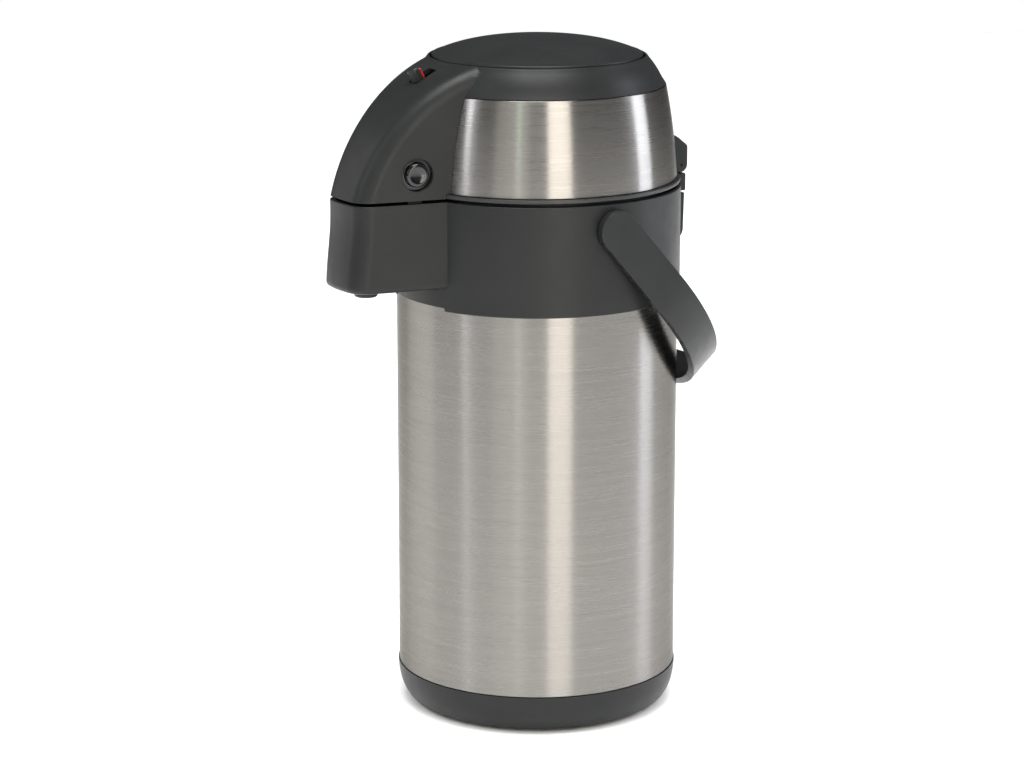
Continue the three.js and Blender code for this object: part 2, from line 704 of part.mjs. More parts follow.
function buildPump() {
  const group = new THREE.Group();
  const folds = turned([...bellowsOutline(0), ...bellowsOutline(bellows.wall).reverse()], 20);
  place(group, 'bellows', folds, sealRubber);
  const endGap = spring.wire + gap;
  const coil = new Helix(spring.radius, bellows.low + endGap, bellows.top - endGap, spring.turns);
  place(group, 'bellows_spring', rod(coil, spring.wire, 50, 5), springSteel);

  const plateLow = bellows.top + gap;
  const plateTop = plateLow + 2;
  const sealTop = plateTop + 2;
  place(group, 'bellows_plate', ring(4, 46, plateLow, plateTop, flaskSides), innerPlastic);
  place(group, 'air_valve_seal', ring(0, 6, plateTop + 0.5, sealTop), sealRubber);

  const dome = turned([
    [0, disc.apex],
    [24, 379],
    [42, 376.4],
    [54, 372.7],
    [57.8, 370.8],
    [disc.radius, 369],
    [disc.radius, disc.skirtLow],
    [disc.radius - disc.wall, disc.skirtLow],
    [disc.radius - disc.wall, 367.4],
    [42, 373.4],
    [24, 376],
    [0, 377],
  ], bodySides);
  const rib = ring(40, 42, plateTop + gap, 374, bodySides);
  const stem = ring(0, 6, sealTop + gap, 378);
  place(group, 'press_disc', dome.add(rib).add(stem), charcoalPlastic);
  return group;
}

// ---- Lock on the hood ----

function buildLock() {
  const group = new THREE.Group();
  const frame = lockFrame();
  const knob = turned([
    [0, -4.6],
    [lock.knobRadius, -4.6],
    [lock.knobRadius, lock.height - 1.2],
    [lock.knobRadius - 1.4, lock.height],
    [0, lock.height],
  ]).translate([0, lock.offset, 0]);
  const slide = block([-6, 6], [-11, 2.5], [-5.5, -4]);
  const flatSide = block([-5, 5], [-1.2, 3], [-1, lock.height + 1]);
  place(group, 'lock_slider', knob.subtract(flatSide).add(slide), charcoalPlastic, frame);
  place(group, 'lock_indicator', block([-2.3, 2.3], [-0.9, 0.05], [-0.7, 5]), redPlastic, frame);
  return group;
}

// ---- Release buttons and their latch pawls ----

function buildLatches() {
  const group = new THREE.Group();
  for (const [name, side] of bothSides) {
    const frame = buttonFrame(side);
    const cap = turned([
      [0, -4.4],
      [button.flange, -4.4],
      [button.flange, -3],
      [button.radius, -3],
      [button.radius, 0],
      [button.radius * 0.7, button.proud * 0.7],
      [0, button.proud],
    ], 16);
    const outward = new THREE.Matrix4().makeRotationY(Math.PI / 2).premultiply(frame);
    place(group, `release_button_${name}`, cap, glossPlastic, outward);
    const arm = block([-7, -4.8], [-4, 4], [-26, 4]);
    const hook = block([-6, -4.3], [-4, 4], [-26, -23.5]);
    place(group, `latch_pawl_${name}`, arm.add(hook), innerPlastic, frame);
  }
  const reach = wallHalf(button.y) - 8.6;
  const lay = new THREE.Matrix4().makeRotationY(Math.PI / 2).setPosition(0, button.y, button.z);
  const coil = rod(new Helix(3, -reach, reach, 5), 0.5, 30, 4);
  place(group, 'latch_spring', coil, springSteel, lay);
  return group;
}

// ---- Carrying handle ----

// One section of the strap: the centre line's place, the direction of its thickness and its width.
function strapSection(centre, out, width) {
  const half = (handle.outer - handle.inner) / 2;
  const edge = 1.2;
  const rim = [
    [half, width / 2 - edge],
    [half - edge, width / 2],
    [-half + edge, width / 2],
    [-half, width / 2 - edge],
    [-half, -width / 2 + edge],
    [-half + edge, -width / 2],
    [half - edge, -width / 2],
    [half, -width / 2 + edge],
  ];
  return rim.map(([thick, wide]) => {
    const point = centre.clone().addScaledVector(out, thick);
    return point.setZ(wide);
  });
}

function buildHandle() {
  const group = new THREE.Group();
  const middle = (handle.inner + handle.outer) / 2;
  const sections = [];
  const add = (x, y, out, width) => {
    sections.push(strapSection(new THREE.Vector3(x, y, 0), out, width));
  };
  const right = new THREE.Vector3(1, 0, 0);
  const left = new THREE.Vector3(-1, 0, 0);
  add(middle, 0, right, handle.armWidth);
  const steps = 16;
  for (let i = 0; i <= steps; i++) {
    const angle = (Math.PI * i) / steps;
    const out = new THREE.Vector3(Math.cos(angle), Math.sin(angle), 0);
    const narrowing = Math.sin(angle);
    const width = handle.armWidth + (handle.gripWidth - handle.armWidth) * narrowing;
    add(middle * out.x, handle.arm + middle * out.y, out, width);
  }
  add(-middle, 0, left, handle.armWidth);
  const hanging = new THREE.Matrix4().makeRotationX(-radians(handle.hang));
  hanging.setPosition(0, handle.y, handle.z);
  let strap = lofted(sections);
  for (const [, side] of bothSides) {
    strap = strap.add(barX(handle.armWidth / 2, across(side, handle.inner, handle.outer), 0, 0, 20));
    strap = strap.subtract(barX(pivot.hole, across(side, handle.inner - 1, handle.outer - pivot.skin), 0, 0));
  }
  place(group, 'handle', strap, charcoalPlastic, hanging);
  for (const [name, side] of bothSides) {
    const stud = barX(pivot.stud, across(side, pivot.studLow, pivot.studTop), 0, 0);
    place(group, `handle_stud_${name}`, stud, springSteel, hanging);
    const retainer = barX(clip.radius, across(side, clip.low, clip.top), 0, 0);
    const bore = barX(pivot.hole, [-reachThrough, reachThrough], 0, 0);
    place(group, `handle_retainer_${name}`, retainer.subtract(bore), springSteel, hanging);
  }
  return group;
}

// A stretch along X on one side of the pot, as [lower, upper].
function across(side, near, far) {
  return side < 0 ? [-far, -near] : [near, far];
}

// ---- Assembly ----

const airpot = new THREE.Group();
airpot.add(
  buildSwivel(),
  buildBody(),
  buildFlask(),
  buildCoffeePath(),
  buildCollar(),
  buildLid(),
  buildHingeLug(),
  buildPump(),
  buildLock(),
  buildLatches(),
  buildHandle(),
);

export default airpot;
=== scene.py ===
"""Push-pump thermal coffee airpot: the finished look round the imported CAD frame."""
import json
from math import atan, cos, pi, radians, sin
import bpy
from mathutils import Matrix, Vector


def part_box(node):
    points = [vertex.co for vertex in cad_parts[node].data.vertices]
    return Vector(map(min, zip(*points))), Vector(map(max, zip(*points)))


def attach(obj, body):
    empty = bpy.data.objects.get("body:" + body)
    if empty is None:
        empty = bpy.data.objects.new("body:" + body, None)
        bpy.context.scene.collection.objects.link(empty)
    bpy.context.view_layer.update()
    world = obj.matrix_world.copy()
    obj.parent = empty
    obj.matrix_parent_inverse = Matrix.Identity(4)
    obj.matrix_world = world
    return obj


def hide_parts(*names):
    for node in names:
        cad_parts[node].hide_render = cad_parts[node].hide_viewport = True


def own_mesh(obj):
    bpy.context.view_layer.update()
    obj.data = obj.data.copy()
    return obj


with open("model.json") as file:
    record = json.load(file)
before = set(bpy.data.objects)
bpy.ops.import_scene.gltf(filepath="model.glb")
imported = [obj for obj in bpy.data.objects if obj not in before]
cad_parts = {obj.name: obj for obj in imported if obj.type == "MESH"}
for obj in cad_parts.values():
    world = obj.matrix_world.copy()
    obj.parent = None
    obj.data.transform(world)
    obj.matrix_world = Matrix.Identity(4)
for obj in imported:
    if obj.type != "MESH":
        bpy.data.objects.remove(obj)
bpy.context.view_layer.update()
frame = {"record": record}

from types import SimpleNamespace

import bmesh
import bpy
from mathutils import Matrix, Vector

# Shapes are drawn in millimetres and written to their meshes in metres.
MM = 0.001

SMOOTH = 144  # steps round a large turned piece
FINE = 48  # steps round a small turned piece
ROUND = 3  # steps across a rounded edge
WELD = 0.002  # points closer than this are one point
GAP = 0.3  # clearance between neighbouring pieces
WALL = 2.5  # moulded wall thickness
SHEET = 0.8  # steel sheet thickness
EDGE = 0.5  # usual rounding of a moulded edge

BODY_OF = {
    node: body
    for body, members in frame["record"]["behaviour"]["bodies"].items()
    for node in members
}


def span(*nodes):
    """The box round some CAD nodes, in millimetres."""
    boxes = [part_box(node) for node in nodes]
    low = [min(box[0][i] for box in boxes) / MM for i in range(3)]
    high = [max(box[1][i] for box in boxes) / MM for i in range(3)]
    return SimpleNamespace(x0=low[0], y0=low[1], z0=low[2], x1=high[0], y1=high[1], z1=high[2])


# ---- Driving dimensions, read from the frame where a box gives them ----

pad = span("anti_slip_pad")
plate = span("turntable")
cap = span("base_cap")
shell = span("outer_shell")
collar = span("collar")
flange = span("lid_base")
band = span("lid_band")
housing = span("lid_housing")
disc = span("press_disc")
nozzle = span("spout_nozzle")
strap = span("handle")
lug = span("lid_hinge_lug")
pin = span("hinge_pin")
bracket = span("hinge_bracket")
cover = span("hinge_cover")

# The hood is an arc in the Y-Z plane between two upright walls that taper towards the front.
HOOD = SimpleNamespace(y=-26.0, z=273.2, radius=101.4, fillet=8.0, crown=1.2, root=20.0)
TAPER = SimpleNamespace(front=-122.0, half=19.3, slope=0.193)
BEAK = SimpleNamespace(low=250.0, back=-66.0, front=-124.3, lean=3.4, corner=9.0, bulge=0.9, proud=0.7)
WELL = 59.6  # radius of the well that the press disc slides in
WELL_LOW = 318.0
LID_LOW = 299.8  # underside of the hood and of the lip under the steel band
RIM = 369.8  # top of the shoulder round the press disc
NOZZLE_Y = (nozzle.y0 + nozzle.y1) / 2
PIVOT = SimpleNamespace(y=0.0, z=284.0, hang=radians(48.5), arm=50.8, grip=20.0, stud=4.0, hole=4.3)
BUTTON = SimpleNamespace(y=-90.5, z=313.7, radius=6.5, proud=1.4, hole=8.75, flange=9.6)
LOCK = SimpleNamespace(angle=radians(62.5), length=14.6, width=9.0, knob=3.6, offset=-3.5, height=7.0)
HINGE = SimpleNamespace(y=(pin.y0 + pin.y1) / 2, z=(pin.z0 + pin.z1) / 2, knuckle=4.4, tongue=9.5)
SCREW_CIRCLE = 64.5
BRACKET_SCREW = SimpleNamespace(x=10.0, z=292.5, hole=1.8)


# ---- Mesh work ----


def close(shape):
    """Merges doubles and turns every face outwards."""
    bmesh.ops.remove_doubles(shape, verts=shape.verts, dist=WELD)
    bmesh.ops.recalc_face_normals(shape, faces=shape.faces)
    return shape


def moved(shape, matrix):
    bmesh.ops.transform(shape, matrix=matrix, verts=shape.verts)
    return shape


def shifted(shape, x=0.0, y=0.0, z=0.0):
    bmesh.ops.translate(shape, vec=(x, y, z), verts=shape.verts)
    return shape


def round_corners(shape, corners, outline, steps):
    """Rounds the drawn corners that give a third number, their fillet."""
    for corner, point in zip(corners, outline):
        if len(point) > 2:
            bmesh.ops.bevel(
                shape, geom=[corner], offset=point[2], segments=steps,
                profile=0.5, affect="VERTICES", material=-1,
            )


def round_edges(shape, edges, width, steps=ROUND):
    bmesh.ops.bevel(
        shape, geom=edges, offset=width, segments=steps, profile=0.5,
        affect="EDGES", clamp_overlap=True, material=-1,
    )
    return shape


def turned(outline, steps=SMOOTH, corner_steps=4):
    """Spins a closed outline of (radius, height) or (radius, height, fillet) corners about Z."""
    shape = bmesh.new()
    corners = [shape.verts.new((point[0], 0, point[1])) for point in outline]
    for here, ahead in zip(corners, corners[1:] + corners[:1]):
        if here.co.x > WELD or ahead.co.x > WELD:
            shape.edges.new((here, ahead))
    round_corners(shape, corners, outline, corner_steps)
    bmesh.ops.spin(
        shape, geom=shape.verts[:] + shape.edges[:], cent=(0, 0, 0), axis=(0, 0, 1),
        angle=2 * pi, steps=steps, use_merge=True,
    )
    return close(shape)


def ring(inner, outer, low, high, edge=EDGE, steps=SMOOTH):
    """A turned ring with rounded rims, or a disc where the inner radius is 0."""
    if inner:
        outline = [(inner, low, edge), (outer, low, edge), (outer, high, edge), (inner, high, edge)]
    else:
        outline = [(0, low), (outer, low, edge), (outer, high, edge), (0, high)]
    return turned(outline, steps)


def drum(radius, low, high, steps=SMOOTH):
    return turned([(0, low), (radius, low), (radius, high), (0, high)], steps)


def along_x(shape):
    """Lays a shape that was turned about Z along X."""
    return moved(shape, Matrix.Rotation(pi / 2, 4, "Y"))


def along_y(shape):
    """Lays a shape that was turned about Z along Y, its top end towards the back."""
    return moved(shape, Matrix.Rotation(-pi / 2, 4, "X"))


def brick(across, deep, high, edge=EDGE):
    """A box between two places on each axis, with rounded edges."""
    shape = bmesh.new()
    bmesh.ops.create_cube(shape, size=1)
    bmesh.ops.scale(
        shape, vec=(across[1] - across[0], deep[1] - deep[0], high[1] - high[0]), verts=shape.verts
    )
    shifted(shape, (across[0] + across[1]) / 2, (deep[0] + deep[1]) / 2, (high[0] + high[1]) / 2)
    return round_edges(shape, shape.edges[:], edge) if edge else shape


def extruded(outline, low, high, edge=EDGE, corner_steps=5, rims=("low", "high")):
    """Raises an outline of (x, y) or (x, y, fillet) corners along Z, and rounds the named rims."""
    shape = bmesh.new()
    corners = [shape.verts.new((point[0], point[1], low)) for point in outline]
    shape.faces.new(corners)
    round_corners(shape, corners, outline, corner_steps)
    raised = bmesh.ops.extrude_face_region(shape, geom=shape.faces[:])["geom"]
    top = [part for part in raised if isinstance(part, bmesh.types.BMVert)]
    bmesh.ops.translate(shape, vec=(0, 0, high - low), verts=top)
    close(shape)
    heights = [{"low": low, "high": high}[rim] for rim in rims]
    rim_edges = [
        line for line in shape.edges
        if any(all(abs(end.co.z - height) < WELD for end in line.verts) for height in heights)
    ]
    return round_edges(shape, rim_edges, edge) if edge else shape


def slab(outline, half, edge=EDGE):
    """An outline of (y, z) corners, extruded along X to both sides."""
    shape = extruded(outline, -half, half, edge)
    axes = Matrix(((0, 0, 1, 0), (1, 0, 0, 0), (0, 1, 0, 0), (0, 0, 0, 1)))
    return moved(shape, axes)


def combined(operation, shape, *others):
    """Joins or cuts closed shapes with the exact solver, and uses them up."""
    scene = bpy.context.scene
    helpers = []
    for part in (shape, *others):
        mesh = bpy.data.meshes.new("helper")
        part.to_mesh(mesh)
        part.free()
        helpers.append(bpy.data.objects.new("helper", mesh))
        scene.collection.objects.link(helpers[-1])
    for helper in helpers[1:]:
        step = helpers[0].modifiers.new("join", "BOOLEAN")
        step.operation = operation
        step.solver = "EXACT"
        step.object = helper
    result = bmesh.new()
    result.from_object(helpers[0], bpy.context.evaluated_depsgraph_get())
    for helper in helpers:
        mesh = helper.data
        bpy.data.objects.remove(helper)
        bpy.data.meshes.remove(mesh)
    bmesh.ops.remove_doubles(result, verts=result.verts, dist=WELD)
    bmesh.ops.dissolve_degenerate(result, edges=result.edges, dist=WELD)
    return result


def joined(shape, *others):
    return combined("UNION", shape, *others)


def cut(shape, *others):
    return combined("DIFFERENCE", shape, *others)


def trimmed(shape, height, edge=0.0):
    """Takes off everything below a height, and rounds the new rim."""
    geometry = shape.verts[:] + shape.edges[:] + shape.faces[:]
    bmesh.ops.bisect_plane(
        shape, geom=geometry, plane_co=(0, 0, height), plane_no=(0, 0, 1), clear_inner=True
    )
    rim = [line for line in shape.edges if line.is_boundary]
    bmesh.ops.holes_fill(shape, edges=rim, sides=0)
    close(shape)
    rim = [line for line in shape.edges if all(abs(end.co.z - height) < WELD for end in line.verts)]
    return round_edges(shape, rim, edge) if edge else shape


def sliced(shape, axis, places):
    """Adds cross-cuts at the given places along an axis, so that the shape can bend there."""
    normal = Vector((0, 0, 0))
    normal[axis] = 1
    for place in places:
        geometry = shape.verts[:] + shape.edges[:] + shape.faces[:]
        bmesh.ops.bisect_plane(shape, geom=geometry, plane_co=normal * place, plane_no=normal)
    return shape


def spread(start, stop, count):
    """Evenly spaced numbers from start to stop."""
    return [start + (stop - start) * i / (count - 1) for i in range(count)]


def coiled(radius, wire, low, high, turns, steps=36, sides=8):
    """A coil spring with its ends capped, wound by a rising spin."""
    shape = bmesh.new()
    bmesh.ops.create_circle(shape, cap_ends=False, radius=wire, segments=sides)
    moved(shape, Matrix.Translation((radius, 0, low)) @ Matrix.Rotation(pi / 2, 4, "X"))
    count = round(turns * steps)
    bmesh.ops.spin(
        shape, geom=shape.verts[:] + shape.edges[:], cent=(0, 0, 0), axis=(0, 0, 1),
        angle=2 * pi * turns, steps=count, dvec=(0, 0, (high - low) / count),
    )
    bmesh.ops.holes_fill(shape, edges=[line for line in shape.edges if line.is_boundary], sides=0)
    return close(shape)


# ---- Materials ----


def linear(colour):
    """An sRGB hex colour as the linear values that a shader takes."""
    parts = [int(colour[i:i + 2], 16) / 255 for i in (1, 3, 5)]
    return (*[c / 12.92 if c <= 0.04045 else ((c + 0.055) / 1.055) ** 2.4 for c in parts], 1.0)


def add(tree, kind, values=None, links=None, **settings):
    """Adds a shader node, with its properties, the values on its sockets and the links into it."""
    made = tree.nodes.new("ShaderNode" + kind)
    for name, value in settings.items():
        setattr(made, name, value)
    for socket, value in (values or {}).items():
        made.inputs[socket].default_value = value
    for socket, source in (links or {}).items():
        tree.links.new(source, made.inputs[socket])
    return made


def started(name, **values):
    """A new material: its node tree, its shader and its object coordinates."""
    material = bpy.data.materials.new(name)
    material.use_nodes = True
    tree = material.node_tree
    tree.nodes.clear()
    sockets = {socket.replace("_", " "): value for socket, value in values.items()}
    shader = add(tree, "BsdfPrincipled", sockets)
    add(tree, "OutputMaterial", links={"Surface": shader.outputs["BSDF"]})
    place = add(tree, "TexCoord").outputs["Object"]
    return SimpleNamespace(material=material, tree=tree, shader=shader, place=place)


def feed(made, socket, source):
    made.tree.links.new(source, made.shader.inputs[socket])


def grain(made, size, detail=2.0, stretch=None, roughness=0.5):
    """Noise with features of the given size in millimetres, drawn out along an axis by stretch."""
    place = made.place
    if stretch:
        place = add(made.tree, "Mapping", {"Scale": stretch}, {"Vector": place}).outputs["Vector"]
    values = {"Scale": 1 / (size * MM), "Detail": detail, "Roughness": roughness}
    return add(made.tree, "TexNoise", values, {"Vector": place}).outputs["Fac"]


def between(made, source, low, high, start=0.3, stop=0.7):
    """Remaps a pattern's middle range to two values."""
    values = {"From Min": start, "From Max": stop, "To Min": low, "To Max": high}
    return add(made.tree, "MapRange", values, {"Value": source}).outputs["Result"]


def tinted(made, source, first, second):
    """Runs from one colour to another over a pattern."""
    ramp = add(made.tree, "ValToRGB", links={"Fac": source})
    ramp.color_ramp.elements[0].position = 0.3
    ramp.color_ramp.elements[0].color = linear(first)
    ramp.color_ramp.elements[1].position = 0.7
    ramp.color_ramp.elements[1].color = linear(second)
    return ramp.outputs["Color"]


def raised(made, source, height, under=None):
    """A bump of the given height in millimetres."""
    links = {"Height": source}
    if under:
        links["Normal"] = under
    bump = add(made.tree, "Bump", {"Distance": height * MM, "Strength": 1.0}, links)
    return bump.outputs["Normal"]


def finish(made, slot):
    return SimpleNamespace(material=made.material, slot=slot)


def moulded_charcoal_abs():
    # ABS moulded in a spark-eroded tool: a dark satin grey whose fine texture spreads
    # highlights softly.
    made = started("moulded_charcoal_abs", IOR=1.53, Specular_IOR_Level=0.22)
    cloud = grain(made, 30, detail=3)
    feed(made, "Base Color", tinted(made, cloud, "#1a1b1b", "#1e1f1f"))
    feed(made, "Roughness", between(made, grain(made, 9), 0.38, 0.44))
    # Real spark texture is about 0.05 mm across; 0.6 mm is the finest that still shows.
    feed(made, "Normal", raised(made, grain(made, 0.6), 0.004))
    return finish(made, "charcoal_plastic")


def handle_charcoal_abs():
    # The same ABS where hands rub it: the texture is slightly polished, so its edges catch
    # thin highlights.
    made = started("handled_charcoal_abs", IOR=1.53, Specular_IOR_Level=0.24)
    feed(made, "Base Color", tinted(made, grain(made, 22, detail=3), "#1c1d1d", "#212222"))
    feed(made, "Roughness", between(made, grain(made, 7), 0.30, 0.38))
    feed(made, "Normal", raised(made, grain(made, 0.6), 0.003))
    return finish(made, "charcoal_plastic")


def inner_polypropylene():
    # Polypropylene moulded in a plain tool: darker and waxier, with faint flow marks.
    made = started("inner_polypropylene", IOR=1.49)
    flow = grain(made, 14, detail=4, stretch=(1, 1, 0.4))
    feed(made, "Base Color", tinted(made, flow, "#1c1d1d", "#232424"))
    feed(made, "Roughness", between(made, grain(made, 5), 0.38, 0.5))
    feed(made, "Normal", raised(made, grain(made, 1.2), 0.006))
    return finish(made, "inner_plastic")


def gloss_black_abs():
    # ABS from a polished tool: black, and smooth enough to mirror the lights in small
    # sharp highlights.
    made = started("gloss_black_abs", IOR=1.54)
    feed(made, "Base Color", tinted(made, grain(made, 6), "#0d0e10", "#131416"))
    feed(made, "Roughness", between(made, grain(made, 3), 0.07, 0.14))
    return finish(made, "gloss_black_plastic")


def signal_red_abs():
    # Solid red ABS, slightly glossy, its colour a little deeper in small random patches.
    made = started("signal_red_abs", IOR=1.54)
    feed(made, "Base Color", tinted(made, grain(made, 2.5), "#a51c17", "#b92a22"))
    feed(made, "Roughness", between(made, grain(made, 2), 0.25, 0.36))
    return finish(made, "red_plastic")


def brushed_stainless():
    # Stainless sheet brushed round its axis: crisp upright reflections that smear up and down,
    # crossed by fine level scratches.
    made = started(
        "brushed_stainless", Metallic=1.0, Anisotropic=1.0, Anisotropic_Rotation=0.25,
        Specular_Tint=linear("#c0bfbd"),
    )
    # Real scratches are about 0.1 mm apart; 0.7 mm is the finest that still shows.
    level = (0.012, 0.012, 1.0)
    scratch = grain(made, 0.7, detail=2, stretch=level, roughness=0.6)
    streak = grain(made, 4, detail=4, stretch=level)
    feed(made, "Base Color", tinted(made, streak, "#868480", "#8a8783"))
    feed(made, "Roughness", between(made, scratch, 0.26, 0.31))
    feed(made, "Normal", raised(made, scratch, 0.0003))
    return finish(made, "brushed_shell_steel")


def spun_flask_steel():
    # Spun and electropolished stainless: bright, with faint rings left by the spinning.
    made = started("spun_flask_steel", Metallic=1.0)
    rings = grain(made, 2.5, detail=3, stretch=(0.02, 0.02, 1.0))
    feed(made, "Base Color", tinted(made, rings, "#b9b8b5", "#c6c5c3"))
    feed(made, "Roughness", between(made, rings, 0.14, 0.24))
    feed(made, "Normal", raised(made, rings, 0.008))
    return finish(made, "flask_steel")


def bright_fastener_steel():
    # Cold-drawn, nickel-plated steel: pale grey with small dull patches from handling.
    made = started("bright_fastener_steel", Metallic=1.0)
    patch = grain(made, 1.6, detail=4)
    feed(made, "Base Color", tinted(made, patch, "#a3a4a5", "#b4b5b5"))
    feed(made, "Roughness", between(made, patch, 0.2, 0.36))
    feed(made, "Normal", raised(made, grain(made, 0.5), 0.004))
    return finish(made, "fastener_steel")


def seal_silicone():
    # Food-grade silicone: warm grey, soft to look at, with a slightly dusty surface.
    made = started("seal_silicone", IOR=1.41, Sheen_Weight=0.15, Sheen_Roughness=0.5)
    feed(made, "Base Color", tinted(made, grain(made, 8, detail=3), "#706b64", "#7d7871"))
    feed(made, "Roughness", between(made, grain(made, 3), 0.55, 0.7))
    feed(made, "Normal", raised(made, grain(made, 0.7), 0.008))
    return finish(made, "seal_rubber")


def studio_floor():
    # White paper sweep: matt, with a barely visible tooth.
    made = started("paper_sweep", IOR=1.45, Roughness=0.85)
    feed(made, "Base Color", tinted(made, grain(made, 60, detail=3), "#f6f6f5", "#f9f9f8"))
    return made.material


CHARCOAL = moulded_charcoal_abs()
HANDLED = handle_charcoal_abs()
INNER = inner_polypropylene()
GLOSS = gloss_black_abs()
RED = signal_red_abs()
BRUSHED = brushed_stainless()
FLASK = spun_flask_steel()
FASTENER = bright_fastener_steel()
SILICONE = seal_silicone()


def make(node, shape, look, place=None, crease=32, name=None, stands_for=True):
    """Writes a finished shape as the piece that stands for a CAD node and rides on its body."""
    if place:
        moved(shape, place)
    bmesh.ops.scale(shape, vec=(MM, MM, MM), verts=shape.verts)
    mesh = bpy.data.meshes.new(node)
    shape.to_mesh(mesh)
    shape.free()
    mesh.shade_smooth()
    mesh.set_sharp_from_angle(angle=radians(crease))
    piece = bpy.data.objects.new(name or node + "_finished", mesh)
    bpy.context.scene.collection.objects.link(piece)
    shading = piece.modifiers.new("even_shading", "WEIGHTED_NORMAL")
    shading.keep_sharp = True
    evened = piece.evaluated_get(bpy.context.evaluated_depsgraph_get())
    piece.data = bpy.data.meshes.new_from_object(evened)
    piece.modifiers.clear()
    bpy.data.meshes.remove(mesh)
    piece.data.materials.append(look.material)
    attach(piece, BODY_OF[node])
    if stands_for:
        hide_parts(node)
    return piece


# ---- Shapes shared by the lid and the collar ----


def wall_half(y):
    """Half the distance between the two tapered walls."""
    return TAPER.half + (y - TAPER.front) * TAPER.slope


def hood_solid(inset=0.0, root=HOOD.root):
    """The arc of the hood, crowned across its top, its sides spread to the tapered walls."""
    start = radians(-10)
    stop = radians(82)
    half = TAPER.half - inset
    top = HOOD.radius - HOOD.crown - inset
    fillet = HOOD.fillet - inset
    shape = bmesh.new()
    section = [(half, root), (half, top, fillet), (-half, top, fillet), (-half, root)]
    corners = [shape.verts.new((point[0], -point[1], 0)) for point in section]
    for here, ahead in zip(corners, corners[1:] + corners[:1]):
        shape.edges.new((here, ahead))
    round_corners(shape, corners, section, 8)
    crest = [line for line in shape.edges if all(abs(end.co.y + top) < WELD for end in line.verts)]
    bmesh.ops.subdivide_edges(shape, edges=crest, cuts=9)
    for point in shape.verts:
        if point.co.y < -root - WELD:
            point.co.y -= HOOD.crown * (1 - (point.co.x / half) ** 2)
    moved(shape, Matrix.Rotation(-start, 4, "X"))
    bmesh.ops.spin(
        shape, geom=shape.verts[:] + shape.edges[:], cent=(0, 0, 0), axis=(-1, 0, 0),
        angle=stop - start, steps=72,
    )
    bmesh.ops.holes_fill(shape, edges=[line for line in shape.edges if line.is_boundary], sides=0)
    shifted(shape, y=HOOD.y, z=HOOD.z)
    flat = half - fillet
    for point in shape.verts:
        spread_out = (point.co.y - TAPER.front) * TAPER.slope
        point.co.x += spread_out * max(-1.0, min(1.0, point.co.x / flat))
    return close(shape)


def beak_solid(inset=0.0, low=BEAK.low, high=None, edges=(0.0, 0.0)):
    """The block of the beak: tapered sides, rounded front corners and a front that leans out."""
    high = high or collar.z1
    front = BEAK.front + BEAK.bulge + inset
    corner = BEAK.corner - inset

    def half(y):
        return wall_half(y) + BEAK.proud - inset

    outline = [
        (half(BEAK.back), BEAK.back),
        (half(front), front, corner),
        (-half(front), front, corner),
        (-half(BEAK.back), BEAK.back),
    ]
    shape = extruded(outline, low, high, edge=0.0, corner_steps=10)
    flat = half(front) - corner
    brow = [line for line in shape.edges if all(abs(end.co.y - front) < WELD for end in line.verts)]
    level = [line for line in brow if abs(line.verts[0].co.z - line.verts[1].co.z) < WELD]
    bmesh.ops.subdivide_edges(shape, edges=level, cuts=9, use_grid_fill=True)
    for height, width in zip((low, high), edges):
        rim = [line for line in shape.edges if all(abs(end.co.z - height) < WELD for end in line.verts)]
        if width:
            round_edges(shape, rim, width, 5)
    sliced(shape, 2, spread(low + 4, high - 2, 12))
    for point in shape.verts:
        drop = max(0.0, min(1.0, (290 - point.co.z) / (290 - BEAK.low)))
        reach = max(0.0, min(1.0, (BEAK.back - point.co.y) / (BEAK.back - front)))
        lean = BEAK.lean * (3 * drop ** 2 - 2 * drop ** 3) * reach
        swell = BEAK.bulge * max(0.0, 1 - (point.co.x / flat) ** 2) if reach > 0.9 else 0.0
        side = 1 if point.co.x > 0 else -1
        point.co.y -= lean + swell
        point.co.x -= side * lean * TAPER.slope if abs(point.co.x) > flat else 0.0
    return close(shape)


def band_radius(z):
    """Outer radius of the lid's steel band at a given height."""
    rise = z - band.z0 + GAP
    return band.x1 + 0.01 - 0.0442 * rise - 0.001553 * rise * rise


def band_curve(inset, low, high, count=14):
    return [(band_radius(z) - inset, z) for z in spread(low, high, count)]


def button_frame(side):
    """+X points out of the hood's side wall, through the release button's centre."""
    lean = atan(TAPER.slope)
    turn = -lean if side > 0 else pi + lean
    place = Matrix.Translation((side * wall_half(BUTTON.y), BUTTON.y, BUTTON.z))
    return place @ Matrix.Rotation(turn, 4, "Z")


def lock_frame():
    """+X lies across the hood, +Y points along it to the disc and +Z out of it."""
    out = Vector((0, -cos(LOCK.angle), sin(LOCK.angle)))
    ahead = Vector((0, sin(LOCK.angle), cos(LOCK.angle)))
    turn = Matrix((Vector((1, 0, 0)), ahead, out)).transposed().to_4x4()
    return Matrix.Translation(Vector((0, HOOD.y, HOOD.z)) + out * HOOD.radius) @ turn


# ---- Swivel base and outer body ----


